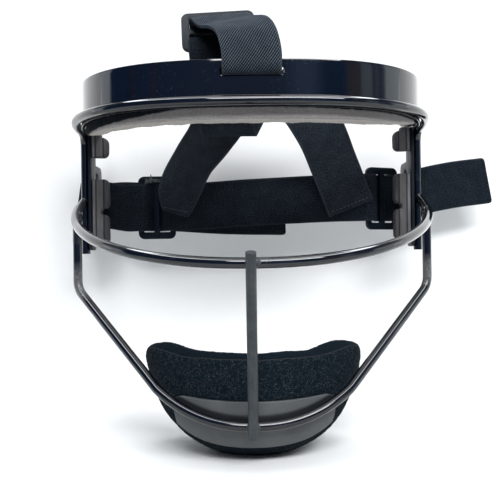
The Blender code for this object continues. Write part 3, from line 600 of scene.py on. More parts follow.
# Brow pad: a strip of grey foam inside the brow plate, thick over the forehead and thin at the temples. Its
# outer face is covered with black brushed cloth, and its cut underside is bare foam. Its ends rise.
BROW_PAD_FRONT = 14.0 * MM
BROW_PAD_END = 6.0 * MM
BROW_PAD_HEIGHT = 17.0 * MM
BROW_PAD_HANG = 5.2 * MM
BROW_PAD_ROUND = 3.0 * MM
BROW_PAD_STOP = 6.0 * MM
BROW_PAD_RISE = (5.2 * MM, 7.8 * MM)
BROW_PAD_RISE_START = (0.45, 0.1)
BROW_PAD_BACK_EDGE = 1.2 * MM
PAD_STEP = 1.0 * MM

pad_inset = plate_inset + PLATE_WALL + CLEAR
brow_pad_bottom = plate_bottom - BROW_PAD_HANG


def look_up(rows, x):
    """Reads a table of (x, value) rows, eased between them."""
    for (x0, v0), (x1, v1) in zip(rows, rows[1:]):
        if x <= x1:
            share = (x - x0) / (x1 - x0)
            return mix(v0, v1, share * share * (3 - 2 * share))
    return rows[-1][1]


def skin(name, rows, closed_rows=False, closed_columns=False, marks=None):
    """A mesh through rows of points, with a UV map in metres where marks gives one for each point."""
    mesh = bpy.data.meshes.new(name)
    bm = bmesh.new()
    lines = [[bm.verts.new(p) for p in row] for row in rows]
    layer = bm.loops.layers.uv.new("UVMap") if marks else None
    count, width = len(lines), len(lines[0])
    for i in range(count if closed_rows else count - 1):
        for k in range(width if closed_columns else width - 1):
            spots = [(i, k), (i, k + 1), (i + 1, k + 1), (i + 1, k)]
            face = bm.faces.new([lines[a % count][b % width] for a, b in spots])
            for loop, (a, b) in zip(face.loops, spots):
                if marks:
                    loop[layer].uv = marks[a][b]
    bm.to_mesh(mesh)
    bm.free()
    made = bpy.data.objects.new(name, mesh)
    bpy.context.scene.collection.objects.link(made)
    return made


def mend(piece, fill=True):
    """Welds doubled points, closes open ends and turns the faces outwards."""
    make_active(piece)
    edit_all()
    bpy.ops.mesh.remove_doubles(threshold=0.002 * MM)
    if fill:
        bpy.ops.mesh.select_all(action="DESELECT")
        bpy.ops.mesh.select_mode(type="VERT")
        bpy.ops.mesh.select_non_manifold()
        bpy.ops.mesh.fill_holes(sides=0)
    bpy.ops.mesh.select_all(action="SELECT")
    bpy.ops.mesh.normals_make_consistent(inside=False)
    object_mode()


def roughen(piece, size, depth, seed, keep=None):
    """Moves each point along its normal by noise of a size, for the unevenness of foam and cloth."""
    normals = [vertex.normal.copy() for vertex in piece.data.vertices]
    for vertex, normal in zip(piece.data.vertices, normals):
        amount = noise.noise(vertex.co / size + Vector((seed, seed, seed))) * depth
        vertex.co += normal * (amount * keep(vertex.co) if keep else amount)


def rounded_loop(corners, steps=5):
    """A closed outline through corners of (x, y, radius), rounded."""
    points = []
    for k, (x, y, radius) in enumerate(corners):
        before, after = corners[k - 1], corners[(k + 1) % len(corners)]
        spots = [Vector((a, b, 0)) for a, b in ((before[0], before[1]), (x, y), (after[0], after[1]))]
        points += rounded_corner(*spots, radius, steps)
    return [(p.x, p.y) for p in points]


def close_loop(points, step):
    """Even steps round a closed outline of (x, y) points."""
    loop = even_steps([Vector((*p, 0)) for p in [*points, points[0]]], step)
    return [(p.x, p.y) for p in loop[:-1]]


pad_plan = [p for p in brow_plan if p.y <= SIDE_ROD_Y - BROW_PAD_STOP]
pad_face = even_steps(inset(pad_plan, pad_inset), PAD_STEP)
rows, marks = [], []
for k, (face, back) in enumerate(zip(pad_face, inset(pad_face, MM))):
    inward = (back - face).normalized()
    share = (face.y - brow_front) / BROW_DEPTH
    deep = mix(BROW_PAD_FRONT, BROW_PAD_END, min(max(share, 0.0), 1.0))
    corner, tall = min(BROW_PAD_ROUND, deep / 2.2), BROW_PAD_HEIGHT
    loop = rounded_loop(
        [(0, 0, BROW_PAD_BACK_EDGE), (deep, 0, corner), (deep, tall, corner), (0, tall, BROW_PAD_BACK_EDGE)]
    )
    from_end = min(k, len(pad_face) - 1 - k) * PAD_STEP
    shrink = 1 - 0.16 * max(1 - from_end / (3.0 * MM), 0.0) ** 2
    right = face.x > 0
    curve = ((0, 0), (BROW_PAD_RISE_START[right], 0), (0.95, 1), (1, 1))
    lift = BROW_PAD_RISE[right] * look_up(curve, share)
    row = []
    for u, v in loop:
        rise = brow_pad_bottom + lift + mix(tall / 2, v, shrink) * (1 - lift / tall)
        row.append(face + inward * mix(deep / 2, u, shrink) + Vector((0, 0, rise)))
    rows.append(row)
    marks.append([(k * PAD_STEP, u) for u, _ in [*loop, loop[0]]])
brow_pad = skin("brow_pad_foam", rows, closed_columns=True, marks=marks)
mend(brow_pad)
smooth = brow_pad.modifiers.new("finer", "SUBSURF")
smooth.levels = smooth.render_levels = 1
apply_all(brow_pad)
roughen(brow_pad, 9 * MM, 0.5 * MM, 1.3)
roughen(brow_pad, 1.6 * MM, 0.22 * MM, 5.1)
brow_pad.data.shade_smooth()

brow_foam = finish("brow_foam", (0.1, 0.095, 0.09), 0.95, 0.04)
place = place_of()
x, y, z = apart(place)
ragged = grain(place, 420, 3.0, 0.7)
inwards = plus(apart(node("TexCoord", "UV"))[1], between(ragged, 0.3, 0.7, -0.3 * MM, 0.3 * MM))
outer_face = between(inwards, 0.9 * MM, 1.5 * MM, 1.0, 0.0)
cloth = sums("MAXIMUM", outer_face, between(sums("ABSOLUTE", x), 84 * MM, 87 * MM))
border = between(x, -86 * MM, -30 * MM, brow_pad_bottom - 0.2 * MM, brow_pad_bottom + 5.4 * MM)
border = sums("SUBTRACT", border, between(x, 10 * MM, 45 * MM, 0.0, 0.7 * MM))
border = plus(border, between(ragged, 0.3, 0.7, -0.25 * MM, 0.25 * MM))
bare = between(sums("SUBTRACT", border, z), -0.4 * MM, 0.4 * MM)
cells = grain(place, 1500, 3.0, 0.7)
fluff = grain(place, 2600, 4.0, 0.75)
foam_tone = tint(between(cells, 0.3, 0.7), (0.29, 0.275, 0.255), (0.44, 0.415, 0.385))
cloth_tone = tint(between(fluff, 0.5, 0.72), (0.003, 0.006, 0.01), (0.06, 0.065, 0.07))
worn_tone = tint(between(fluff, 0.4, 0.7), (0.21, 0.2, 0.2), (0.4, 0.38, 0.375))
feed("Base Color", tint(cloth, foam_tone, tint(bare, cloth_tone, worn_tone)))
feed("Normal", relief(fluff, 0.4 * MM, 0.8, relief(cells, 0.25 * MM, 0.5)))
brow_pad.data.materials.append(brow_foam)
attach(brow_pad, "root")
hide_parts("brow_pad")

# Side plates: flat grey plastic strips inside the side rods, with a black lip along the front, and a slotted
# tab behind for the back strap. They are moulded, and their edges are eased.
SIDE_WALL = 1.6 * MM
SIDE_PLATE_AHEAD = 5.0 * MM
SIDE_PLATE_BEHIND = 8.0 * MM
SIDE_TAB_BEHIND = 24.0 * MM
SIDE_TAB_OVER = 4.0 * MM
SIDE_PLATE_TOP_GAP = 0.6 * MM
SIDE_PLATE_TAIL = 2.0 * MM
SIDE_CORNER = 4.0 * MM
SIDE_SLOT_Y = 10.5 * MM
SIDE_SLOT_WIDTH = 6.4 * MM
SIDE_SLOT_SLACK = 5.0 * MM
SIDE_SLOT_UNDER = 1.0 * MM
SIDE_SLOT_CORNER = 1.2 * MM
SIDE_EDGE = 0.3 * MM
SIDE_RIB_SHADE_BEHIND = 1.5 * MM
STRAP_WIDTH = 27.3 * MM
STRAP_DROP = 53.9 * MM

side_plate_x = HALF_WIDTH - ROD_RADIUS - CLEAR - SIDE_WALL / 2
side_slot_y = SIDE_ROD_Y + SIDE_SLOT_Y
side_plate_back = SIDE_ROD_Y + SIDE_TAB_BEHIND
side_plate_low = BROW_HEIGHT - SIDE_ROD_LENGTH + SIDE_PLATE_TAIL
side_plate_high = BROW_HEIGHT - SIDE_PLATE_TOP_GAP
strap_bottom = BROW_HEIGHT - STRAP_DROP
slot_low, slot_high = strap_bottom - SIDE_SLOT_UNDER, strap_bottom + STRAP_WIDTH + SIDE_SLOT_SLACK
tab_low, tab_high = slot_low - SIDE_TAB_OVER, slot_high + SIDE_TAB_OVER
strip_front, strip_back = SIDE_ROD_Y - SIDE_PLATE_AHEAD, SIDE_ROD_Y + SIDE_PLATE_BEHIND

middle = (0, (strip_front + strip_back) / 2, (side_plate_low + side_plate_high) / 2)
strip = box(middle, (SIDE_WALL, strip_back - strip_front, side_plate_high - side_plate_low))
for height in (tab_low, tab_high):
    edit_all()
    bpy.ops.mesh.bisect(plane_co=(0, 0, height), plane_no=(0, 0, 1))
pick(strip, "FACE", lambda face: face.normal.y > 0.9 and tab_low < face.calc_center_median().z < tab_high)
bpy.ops.mesh.extrude_region_move(TRANSFORM_OT_translate={"value": (0, side_plate_back - strip_back, 0)})


def outer_corner(edge):
    """The short edges at the strip's and the tab's outer corners."""
    a, b = edge.verts[0].co, edge.verts[1].co
    if abs(a.x - b.x) < MM / 2:
        return False
    at_end = min(abs(a.z - side_plate_low), abs(a.z - side_plate_high)) < MM / 9
    return (at_end and a.y < strip_back + MM / 9) or a.y > side_plate_back - MM / 9


pick(strip, "EDGE", outer_corner)
bpy.ops.mesh.bevel(offset=SIDE_CORNER, segments=6, affect="EDGES")
object_mode()
slot = (SIDE_WALL * 4, SIDE_SLOT_WIDTH, slot_high - slot_low)
cut_away(strip, block((0, side_slot_y, (slot_low + slot_high) / 2), slot, 0, SIDE_SLOT_CORNER, 4))
ease_edges(strip, SIDE_EDGE)

side_grey = finish("side_grey", (0.1, 0.1, 0.105), 0.45, 0.2)
place = place_of()
x, y, z = apart(place)
leather = grain(place, 1100)
# A dark line just behind the rod's middle is painted shade, standing in for a moulded rib that has no shape
# here.
off_line = sums("ABSOLUTE", sums("SUBTRACT", y, SIDE_ROD_Y + SIDE_RIB_SHADE_BEHIND))
seam_and_rib_shade = between(off_line, 0.35 * MM, 0.8 * MM, 1.0, 0.0)
moulded = tint(grain(place, 90), (0.08, 0.082, 0.088), (0.125, 0.127, 0.132))
moulded = tint(seam_and_rib_shade, moulded, (0.015, 0.016, 0.019))
lip = between(y, SIDE_ROD_Y - 1.4 * MM, SIDE_ROD_Y - 0.8 * MM, 1.0, 0.0)
feed("Base Color", tint(lip, moulded, (0.002, 0.004, 0.008)))
feed("Roughness", between(leather, 0.3, 0.7, 0.38, 0.55))
feed("Normal", relief(leather, 0.05 * MM, 0.4))
strip.data.materials.append(side_grey)


def copied(piece, name, move):
    """A copy of a piece with its own mesh, moved or mirrored in the mesh."""
    made = piece.copy()
    made.data = piece.data.copy()
    made.name = made.data.name = name
    bpy.context.scene.collection.objects.link(made)
    made.data.transform(move)
    if move.determinant() < 0:
        made.data.flip_normals()
    return made


for side, word in zip(SIDES, ("left", "right")):
    made = copied(strip, f"side_strip_{word}", Matrix.Translation((side * side_plate_x, 0, 0)))
    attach(made, "root")
    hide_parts(f"side_plate_{word}")
bpy.data.objects.remove(strip, do_unlink=True)

# Side pads: soft dark grey foam glued to the inside of each side plate, a flat base with two rounded lobes,
# and one smaller lobe at the temple. They are moulded in three layers with a fine skin.
SIDE_PAD_BASE = 5.2 * MM
SIDE_PAD_LOBE = 4.0 * MM
SIDE_PAD_DEPTH = 7.5 * MM
SIDE_PAD_DROP = 64.0 * MM
SIDE_PAD_HEIGHT = 37.5 * MM
LOBE_ROUND = 3.0 * MM
LOBE_GAP = 3.0 * MM
TEMPLE_PAD_DROP = 14.2 * MM
TEMPLE_PAD_HEIGHT = 11.2 * MM
TEMPLE_PAD_OVER = 2.2 * MM
LAYER_DEPTHS = (2.3 * MM, 6.7 * MM)
BASE_ROUND = 0.5 * MM
BASE_EDGE = 0.3 * MM
STEP_ROUND = 1.0 * MM
PAD_PULL = 0.8 * MM
SIDE_PAD_RAISED = 1.1 * MM
TEMPLE_PAD_RAISED = 1.7 * MM

pad_outside = side_plate_x - SIDE_WALL / 2 - CLEAR
side_foam = finish("side_foam", (0.05, 0.05, 0.05), 0.75, 0.08)
place = place_of()
pores = grain(place, 1300, 4.0, 0.7)
streaks_and_rod_shade = between(grain(place_of((1, 1, 0.25)), 260), 0.3, 0.7)
out = sums("ABSOLUTE", apart(place)[0])
tone = tint(streaks_and_rod_shade, (0.034, 0.034, 0.037), (0.06, 0.059, 0.062))
base_tone = tint(streaks_and_rod_shade, (0.075, 0.074, 0.078), (0.11, 0.107, 0.11))
back_tone = tint(streaks_and_rod_shade, (0.1, 0.1, 0.108), (0.15, 0.15, 0.16))
# Dark lines along the layers' edges are painted shade in the creases; the bump presses them in as well.
crease_shades = []
for depth, layer_tone in zip(LAYER_DEPTHS[::-1], (base_tone, back_tone)):
    line = pad_outside - depth
    tone = tint(between(out, line - 0.1 * MM, line + 0.1 * MM), tone, layer_tone)
    off_line = sums("ABSOLUTE", sums("SUBTRACT", out, line))
    crease_shades.append(between(off_line, 0.2 * MM, 0.6 * MM, 0.75, 0.0))
crease_shade = sums("MAXIMUM", *crease_shades)
feed("Base Color", tint(crease_shade, tone, (0.009, 0.009, 0.011)))
feed("Roughness", between(pores, 0.3, 0.7, 0.65, 0.85))
pressed = relief(between(crease_shade, 0, 1, 1, 0), 0.5 * MM, 0.8)
feed("Normal", relief(pores, 0.12 * MM, 0.5, pressed))


def lobed_pad(name, bottom, height, lobes, over):
    """The left pad: a base along its plate with rounded lobes above one another, swollen a little."""
    lobe = (height - LOBE_GAP * (lobes - 1)) / lobes
    full = SIDE_PAD_BASE + SIDE_PAD_LOBE
    corners = [(0, 0, BASE_ROUND), (SIDE_PAD_BASE, 0, BASE_EDGE)]
    for number in range(lobes):
        start = number * (lobe + LOBE_GAP)
        if number:
            corners += [(SIDE_PAD_BASE, start - LOBE_GAP, STEP_ROUND), (SIDE_PAD_BASE, start, STEP_ROUND)]
        corners += [(full, start + 0.02 * MM, LOBE_ROUND), (full, start + lobe - 0.02 * MM, LOBE_ROUND)]
    if over:
        corners += [(SIDE_PAD_BASE, height, STEP_ROUND)]
    corners += [(SIDE_PAD_BASE, height + over, BASE_EDGE), (0, height + over, BASE_ROUND)]
    loop = close_loop(rounded_loop(corners), 0.5 * MM)
    face = -pad_outside
    layers = ((0.0, 0.9), (0.05, 0.4), (0.14, 0.1), (0.28, 0.0), (0.5, -0.06))
    layers += ((0.72, 0.0), (0.86, 0.1), (0.95, 0.4), (1.0, 0.9))
    rows = []
    for share, pull in layers:
        y = SIDE_ROD_Y - SIDE_PLATE_AHEAD + SIDE_PAD_DEPTH * share
        row = []
        for k, (u, v) in enumerate(loop):
            a, b = Vector((*loop[k - 1], 0)), Vector((*loop[(k + 1) % len(loop)], 0))
            outward = Vector((b.y - a.y, a.x - b.x, 0)).normalized()
            p = Vector((u, v, 0)) - outward * pull * PAD_PULL
            row.append(Vector((face + max(p.x, 0.0), y, bottom + p.y)))
        rows.append(row)
    pad = skin(name, rows, closed_columns=True)
    mend(pad)
    roughen(pad, 5 * MM, 0.25 * MM, 2.7, lambda co: min(max((co.x - face) / (2 * MM), 0.0), 1.0))
    pad.data.shade_smooth()
    bpy.ops.object.shade_smooth_by_angle(angle=radians(60))
    pad.data.materials.append(side_foam)
    return pad


for kind, drop, height, lobes, over, raised in (
    ("side_pad", SIDE_PAD_DROP, SIDE_PAD_HEIGHT, 2, 0, SIDE_PAD_RAISED),
    ("temple_pad", TEMPLE_PAD_DROP, TEMPLE_PAD_HEIGHT, 1, TEMPLE_PAD_OVER, TEMPLE_PAD_RAISED),
):
    left = lobed_pad(f"{kind}_foam_left", BROW_HEIGHT - drop, height, lobes, over)
    over_to_right = Matrix.Translation((0, 0, raised)) @ Matrix.Diagonal((-1, 1, 1, 1))
    right = copied(left, f"{kind}_foam_right", over_to_right)
    for pad, word in ((left, "left"), (right, "right")):
        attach(pad, "root")
        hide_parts(f"{kind}_{word}")

# Chin pad: a moulded foam cup, open above and behind, covered outside with black loop cloth. A smooth
# binding is sewn round its rim, with one grey seam line below it. The foot is pressed flat.
CUP_BACK = 25.0 * MM
CUP_FOOT_FRONT = 0.54
CUP_FOOT_SIDE = 0.4
CUP_FULL_FRONT = 7.0
CUP_FULL_SIDE = 2.2
CUP_RIM = 49.8 * MM
CUP_WALL = 13.0 * MM
CUP_FLOOR = 9.0 * MM
CUP_BACK_RIM = 0.24
CUP_RIM_SHARES = (
    (0, 1.0), (30, 1.01), (62, 1.07), (78, 1.04), (92, 0.9), (108, 0.58), (126, 0.32), (150, CUP_BACK_RIM),
    (180, CUP_BACK_RIM),
)
BINDING = 2.4 * MM
RIM_RADIUS = 50.0 * MM
CUP_COLUMNS, CUP_STEPS = 400, 5
CUP_LEVELS = (0.0, 0.035, 0.07, 0.11, 0.16, 0.23, 0.3, 0.4, 0.5, 0.62, 0.75, 0.85)


def cup_radii(angle):
    return CUP_SIDE * sin(angle), -cos(angle) * (CUP_FRONT if cos(angle) > 0 else CUP_BACK)


def cup_share(height, angle):
    """Share of the rim's radius that the cup's outer wall has at a height and an angle from the front."""
    ahead = cos(angle) ** 2
    foot = mix(CUP_FOOT_SIDE, CUP_FOOT_FRONT, ahead)
    return 1 - (1 - foot) * max(1 - height / CUP_RIM, 0.0) ** mix(CUP_FULL_SIDE, CUP_FULL_FRONT, ahead)


def smooth_path(points, steps):
    """A smooth curve through the points; each bend is shaped by the distances to its neighbours."""
    points = [Vector(p) for p in points]
    spans = [b - a for a, b in zip(points, points[1:])]
    slopes = [s / s.length for s in spans]
    tangents = [slopes[0]]
    for k in range(1, len(spans)):
        before, after = spans[k - 1].length, spans[k].length
        tangents.append((slopes[k - 1] * after + slopes[k] * before) / (before + after))
    tangents.append(slopes[-1])
    path = []
    for k, span in enumerate(spans):
        a, b = tangents[k] * span.length, tangents[k + 1] * span.length
        for step in range(steps):
            t = step / steps
            bend = (2 * t**3 - 3 * t**2 + 1) * points[k] + (3 * t**2 - 2 * t**3) * points[k + 1]
            path.append(bend + (t**3 - 2 * t**2 + t) * a + (t**3 - t**2) * b)
    return [*path, points[-1]]


rows, marks = [], []
for k in range(CUP_COLUMNS):
    angle = 2 * pi * k / CUP_COLUMNS - pi
    rim = CUP_RIM * look_up(CUP_RIM_SHARES, abs(degrees(angle)))
    wide, deep = cup_radii(angle)
    reach = hypot(wide, deep)
    edge, crest = cup_share(rim, angle), CUP_WALL * 0.28
    inner, floor_high = edge - CUP_WALL / reach, min(CUP_FLOOR, rim - crest * 1.6)
    depth = rim - crest - floor_high
    outside = [(cup_share(rim * h, angle), rim * h) for h in CUP_LEVELS]
    thick = crest / reach
    top = [(edge, rim - crest), (edge - thick * 0.25, rim - crest * 0.36), (edge - thick * 0.8, rim)]
    top += [(inner + thick * 0.9, rim), (inner + thick * 0.2, rim - crest * 0.4), (inner, rim - crest)]
    inside = [(inner * 0.94, floor_high + depth * 0.5), (inner * 0.78, floor_high + depth * 0.16)]
    inside += [(inner * 0.5, floor_high)]
    curve = smooth_path([(s * reach, z, 0) for s, z in [*outside, *top, *inside]], CUP_STEPS)
    ring = [(p.x, p.y) for p in curve]
    ring = [(0.0, 0.0), (ring[0][0] * 0.5, 0.0), *ring, (inner * reach * 0.25, CUP_FLOOR), (0.0, CUP_FLOOR)]
    rows.append([Vector((wide * r / reach, deep * r / reach, z)) for r, z in ring])
    steps = [(b - a).length for a, b in zip(rows[-1], rows[-1][1:])]
    crown = 2 + CUP_STEPS * (len(outside) + 2)
    below = [sum(steps[m:crown][::-1]) if m < crown else -sum(steps[crown:m]) for m in range(len(ring))]
    marks.append([(angle * RIM_RADIUS, drop) for drop in below])
marks.append([(pi * RIM_RADIUS, drop) for _, drop in marks[0]])
chin_pad = skin("chin_cup", rows, closed_rows=True, marks=marks)
mend(chin_pad, fill=False)


def above_foot(co):
    return min(max((co.z - 0.5 * MM) / (4 * MM), 0.0), 1.0)


roughen(chin_pad, 14 * MM, 0.5 * MM, 3.1, above_foot)
roughen(chin_pad, 1.3 * MM, 0.25 * MM, 8.4, above_foot)
chin_pad.data.shade_smooth()

loop_cloth = finish("chin_foam", (0.012, 0.012, 0.014), 0.95, 0.04)
place = place_of()
wave = between(grain(place, 90), 0.3, 0.7, -0.25 * MM, 0.25 * MM)
drop = plus(apart(node("TexCoord", "UV"))[1], wave)
binding = between(drop, BINDING, BINDING + 0.3 * MM, 1.0, 0.0)
groove = times(
    between(drop, BINDING + 0.2 * MM, BINDING + 0.35 * MM),
    between(drop, BINDING + 0.55 * MM, BINDING + 0.75 * MM, 1.0, 0.0),
)
loops = grain(place, 1900, 3.0, 0.75)
fleck = times(between(loops, 0.5, 0.66), between(grain(place, 620, 2.0), 0.32, 0.58))
cloth_tone = tint(fleck, (0.003, 0.008, 0.013), (0.055, 0.066, 0.072))
bound_tone = tint(between(loops, 0.5, 0.7), (0.003, 0.007, 0.011), (0.014, 0.019, 0.024))
feed("Base Color", tint(groove, tint(binding, cloth_tone, bound_tone), (0.03, 0.031, 0.034)))
raised_edge = relief(binding, 0.5 * MM, 0.8)
feed("Normal", relief(times(loops, between(binding, 0, 1, 1.0, 0.12)), 0.8 * MM, 0.9, raised_edge))
chin_pad.data.materials.append(loop_cloth)
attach(chin_pad, "root")
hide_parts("chin_pad")

# Chin plate: a thin crescent of satin dark grey plastic on the front of the cup, behind the chin bend. It is
# moulded to the cup's curve, and its upper corners rise into small horns.
CHIN_PLATE_ANGLE = radians(43)
CHIN_PLATE_LOW = 8.3 * MM
CHIN_PLATE_HIGH = 29.7 * MM
CHIN_PLATE_LIFT = 9.6 * MM
CHIN_PLATE_HORN = 2.4 * MM
CRESCENT_EDGE = 0.5 * MM
CRESCENT_COLUMNS, CRESCENT_ROWS = 96, 20

deselect()
bpy.ops.mesh.primitive_grid_add(x_subdivisions=CRESCENT_COLUMNS, y_subdivisions=CRESCENT_ROWS, size=2)
crescent = named("chin_crescent")
reach = CHIN_PLATE_AIR + CHIN_PLATE_WALL / 2
for vertex in crescent.data.vertices:
    share, level = vertex.co.x, (vertex.co.y + 1) / 2
    angle = CHIN_PLATE_ANGLE * share
    bottom = CHIN_PLATE_LOW + CHIN_PLATE_LIFT * (share**2 * 0.45 + share**4 * 0.55)
    upper = CHIN_PLATE_HIGH + CHIN_PLATE_HORN * (share**2 - 1.6 * abs(share) ** 16)
    z = mix(bottom, upper, level)
    part = cup_share(z, angle)
    vertex.co = ((CUP_SIDE * part + reach) * sin(angle), -(CUP_FRONT * part + reach) * cos(angle), z)
give_wall(crescent, CHIN_PLATE_WALL)
mend(crescent, fill=False)
ease_edges(crescent, CRESCENT_EDGE)

chin_grey = finish("chin_grey", (0.055, 0.06, 0.066), 0.4, 0.3)
place = place_of()
smudge = grain(place, 70)
x, y, z = apart(place)
# A dark band just above the chin bend's rod is painted shade and a painted reflection of the rod on the
# plate.
outward = times(sums("ABSOLUTE", x), 1 / (half * CHIN_BEND_SHARE))
above = sums("SUBTRACT", z, times(sums("POWER", outward, 2.3), CHIN_RISE))
streaks_and_rod_shade = times(
    between(above, CHIN_HEIGHT - 3 * MM, CHIN_HEIGHT - 1 * MM),
    between(above, CHIN_HEIGHT + 3.6 * MM, CHIN_HEIGHT + 4.8 * MM, 1.0, 0.0),
)
grey = tint(between(smudge, 0.35, 0.7), (0.055, 0.06, 0.064), (0.077, 0.084, 0.089))
feed("Base Color", tint(streaks_and_rod_shade, grey, (0.012, 0.014, 0.017)))
feed("Roughness", between(smudge, 0.3, 0.7, 0.34, 0.5))
feed("Normal", relief(grain(place, 1500, 3.0, 0.65), 0.05 * MM, 0.35))
crescent.data.materials.append(chin_grey)
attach(crescent, "root")
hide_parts("chin_plate")

# Slide buckles: moulded black plastic, an oblong frame with a middle bar that the strap is threaded round.
# Two lie upright on the back strap and one nearly hangs at the crown. Their edges are rubbed.
BUCKLE_LEFT_IN = 40.2 * MM
BUCKLE_LEFT_DROP = 42.7 * MM
BUCKLE_RIGHT_IN = 18.7 * MM
BUCKLE_RIGHT_DROP = 38.8 * MM
BUCKLE_RIGHT_BEHIND = 4.0 * MM
BUCKLE_RIGHT_TURN = radians(25)
BUCKLE_WIDTH = 21.6 * MM
BUCKLE_HEIGHT = 36.4 * MM
BUCKLE_WALL = 2.2 * MM
BUCKLE_BAR = 3.0 * MM
BUCKLE_CORNER = 3.5 * MM
BUCKLE_END_BAR = 4.0 * MM
BUCKLE_EDGE = 0.8 * MM
CROWN_BUCKLE_X = -15.5 * MM
CROWN_BUCKLE_BEHIND = 30.0 * MM
CROWN_BUCKLE_RISE = 40.7 * MM
CROWN_TILT = radians(71)
CROWN_ROLL = radians(3)
STRAP_BEHIND = 6.0 * MM

strap_y = SIDE_ROD_Y + STRAP_BEHIND
left_buckle = Vector((BUCKLE_LEFT_IN - HALF_WIDTH, strap_y, BROW_HEIGHT - BUCKLE_LEFT_DROP))
right_y = strap_y + BUCKLE_RIGHT_BEHIND
right_buckle = Vector((HALF_WIDTH - BUCKLE_RIGHT_IN, right_y, BROW_HEIGHT - BUCKLE_RIGHT_DROP))
crown_middle = Vector((CROWN_BUCKLE_X, brow_front + CROWN_BUCKLE_BEHIND, BROW_HEIGHT + CROWN_BUCKLE_RISE))

window = (BUCKLE_WIDTH - 3 * BUCKLE_BAR) / 2
slide = block((0, 0, 0), (BUCKLE_WIDTH, BUCKLE_HEIGHT, BUCKLE_WALL), 2, BUCKLE_CORNER, 6)
opening = (window, BUCKLE_HEIGHT - 2 * BUCKLE_END_BAR, BUCKLE_WALL * 3)
for side in SIDES:
    cut_away(slide, block((side * (window + BUCKLE_BAR) / 2, 0, 0), opening, 2, BUCKLE_EDGE, 3))
ease_edges(slide, BUCKLE_EDGE, 4)

moulding = finish("moulding", (0.004, 0.007, 0.012), 0.3, 0.12)
skin_grain = grain(place_of(), 900)
scratch = between(grain(place_of((1, 0.2, 1)), 1700, 4.0, 0.7), 0.58, 0.75)
feed("Base Color", tint(scratch, (0.003, 0.006, 0.01), (0.025, 0.028, 0.033)))
feed("Roughness", between(skin_grain, 0.3, 0.7, 0.24, 0.42))
feed("Normal", relief(skin_grain, 0.05 * MM, 0.3))
slide.data.materials.append(moulding)

upright = Matrix.Rotation(pi / 2, 4, "X")
hang = Matrix.Rotation(CROWN_TILT, 4, "X") @ Matrix.Rotation(pi / 2 + CROWN_ROLL, 4, "Z")
for word, middle, turn in (
    ("buckle_left", left_buckle, upright),
    ("buckle_right", right_buckle, Matrix.Rotation(BUCKLE_RIGHT_TURN, 4, "Z") @ upright),
    ("crown_buckle", crown_middle, hang),
):
    made = copied(slide, f"{word}_slide", Matrix.Translation(middle) @ turn)
    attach(made, "root")
    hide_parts(word)
bpy.data.objects.remove(slide, do_unlink=True)

# Back strap: 27 mm black elastic webbing. One piece runs from its loose end round the left side plate and
# through its slot, through both back buckles, and out through the right plate's slot to a cut end. A worn
# fold of it lies on the left buckle.
STRAP_WALL = 1.5 * MM
STRAP_END_X = 20.0 * MM
STRAP_END_DROP = 5.6 * MM
STRAP_TAIL = 49.0 * MM
STRAP_TAIL_RISE = 11.8 * MM
STRAP_TAIL_TURN = radians(10)
STRAP_STEPS = 12
LOOP_LEAN = radians(9)
LOOP_IN = STRAP_WIDTH / 2 * sin(LOOP_LEAN)
LOOSE_CORNER = 2.0 * MM
SEWN_CORNER = 0.6 * MM
FRAY_RADIUS = 1.0 * MM
FRAY_LENGTH = 9.5 * MM
FRAY_LEFT = -1.6 * MM
FRAY_AHEAD = 2.7 * MM
TUFT_HEIGHT = 1.6 * MM

strap_middle = strap_bottom + STRAP_WIDTH / 2
weave_swing = BUCKLE_WALL / 2 + STRAP_WALL / 2 + CLEAR * 2
bar_reach = (BUCKLE_WIDTH - BUCKLE_BAR) / 2


def weave(middle, turn, rise):
    """Points of the strap where it passes a back buckle: before its outer bars and behind the middle one."""
    rows = ((-1.8, 0.35), (-1.25, -0.9), (-0.75, -1.0), (-0.2, 1.0), (0.2, 1.0), (0.75, -1.0), (1.25, -0.9))
    points = []
    for share, out in rows:
        u, v = bar_reach * share, weave_swing * out
        x, y = u * cos(turn) - v * sin(turn), u * sin(turn) + v * cos(turn)
        points.append((middle.x + x, middle.y + y, rise))
    return points


def across_path(path, facing):
    """Width directions of a strap whose face looks along facing at each point."""
    widths = []
    for k in range(len(path)):
        along = path[min(k + 1, len(path) - 1)] - path[max(k - 1, 0)]
        widths.append(along.cross(facing[k]).normalized())
    return widths


def finer_ends(points, widths):
    """Adds a few points just inside both ends, so that the cut corners can be rounded."""
    for _ in range(2):
        span = (points[1] - points[0]).length
        shares = [d * MM / span for d in (0.12, 0.35, 0.7, 1.2) if d * MM < span * 0.8]
        points = [points[0], *[points[0].lerp(points[1], t) for t in shares], *points[1:]][::-1]
        widths = [widths[0], *[widths[0].lerp(widths[1], t) for t in shares], *widths[1:]][::-1]
    return points, widths


STITCH_LENGTH = 1.7 * MM
STITCH_GAP = 0.6 * MM
STITCH_THICK = 0.42 * MM
STRAP_COLUMNS = 14
STRAP_CURL = 0.12 * MM
STRAP_EDGE = 0.5 * MM
THREAD_PITCH = 0.6 * MM

deselect()
bpy.ops.mesh.primitive_ico_sphere_add(subdivisions=2, radius=0.5, location=(0, 0, 0))
stitch = bpy.context.object
edit_all()
bpy.ops.transform.resize(value=(STITCH_LENGTH, STITCH_THICK, STITCH_THICK))
object_mode()
for vertex in stitch.data.vertices:
    vertex.co.z -= STITCH_THICK * 0.4 * (2 * vertex.co.x / STITCH_LENGTH) ** 2
stitch.data.shade_smooth()
thread = finish("thread", (0.02, 0.024, 0.03), 0.7, 0.25)
ply = between(sums("SINE", times(apart(place_of())[0], 2 * pi / (0.3 * MM))), -1, 1)
feed("Base Color", tint(ply, (0.016, 0.02, 0.026), (0.06, 0.066, 0.074)))
stitch.data.materials.append(thread)


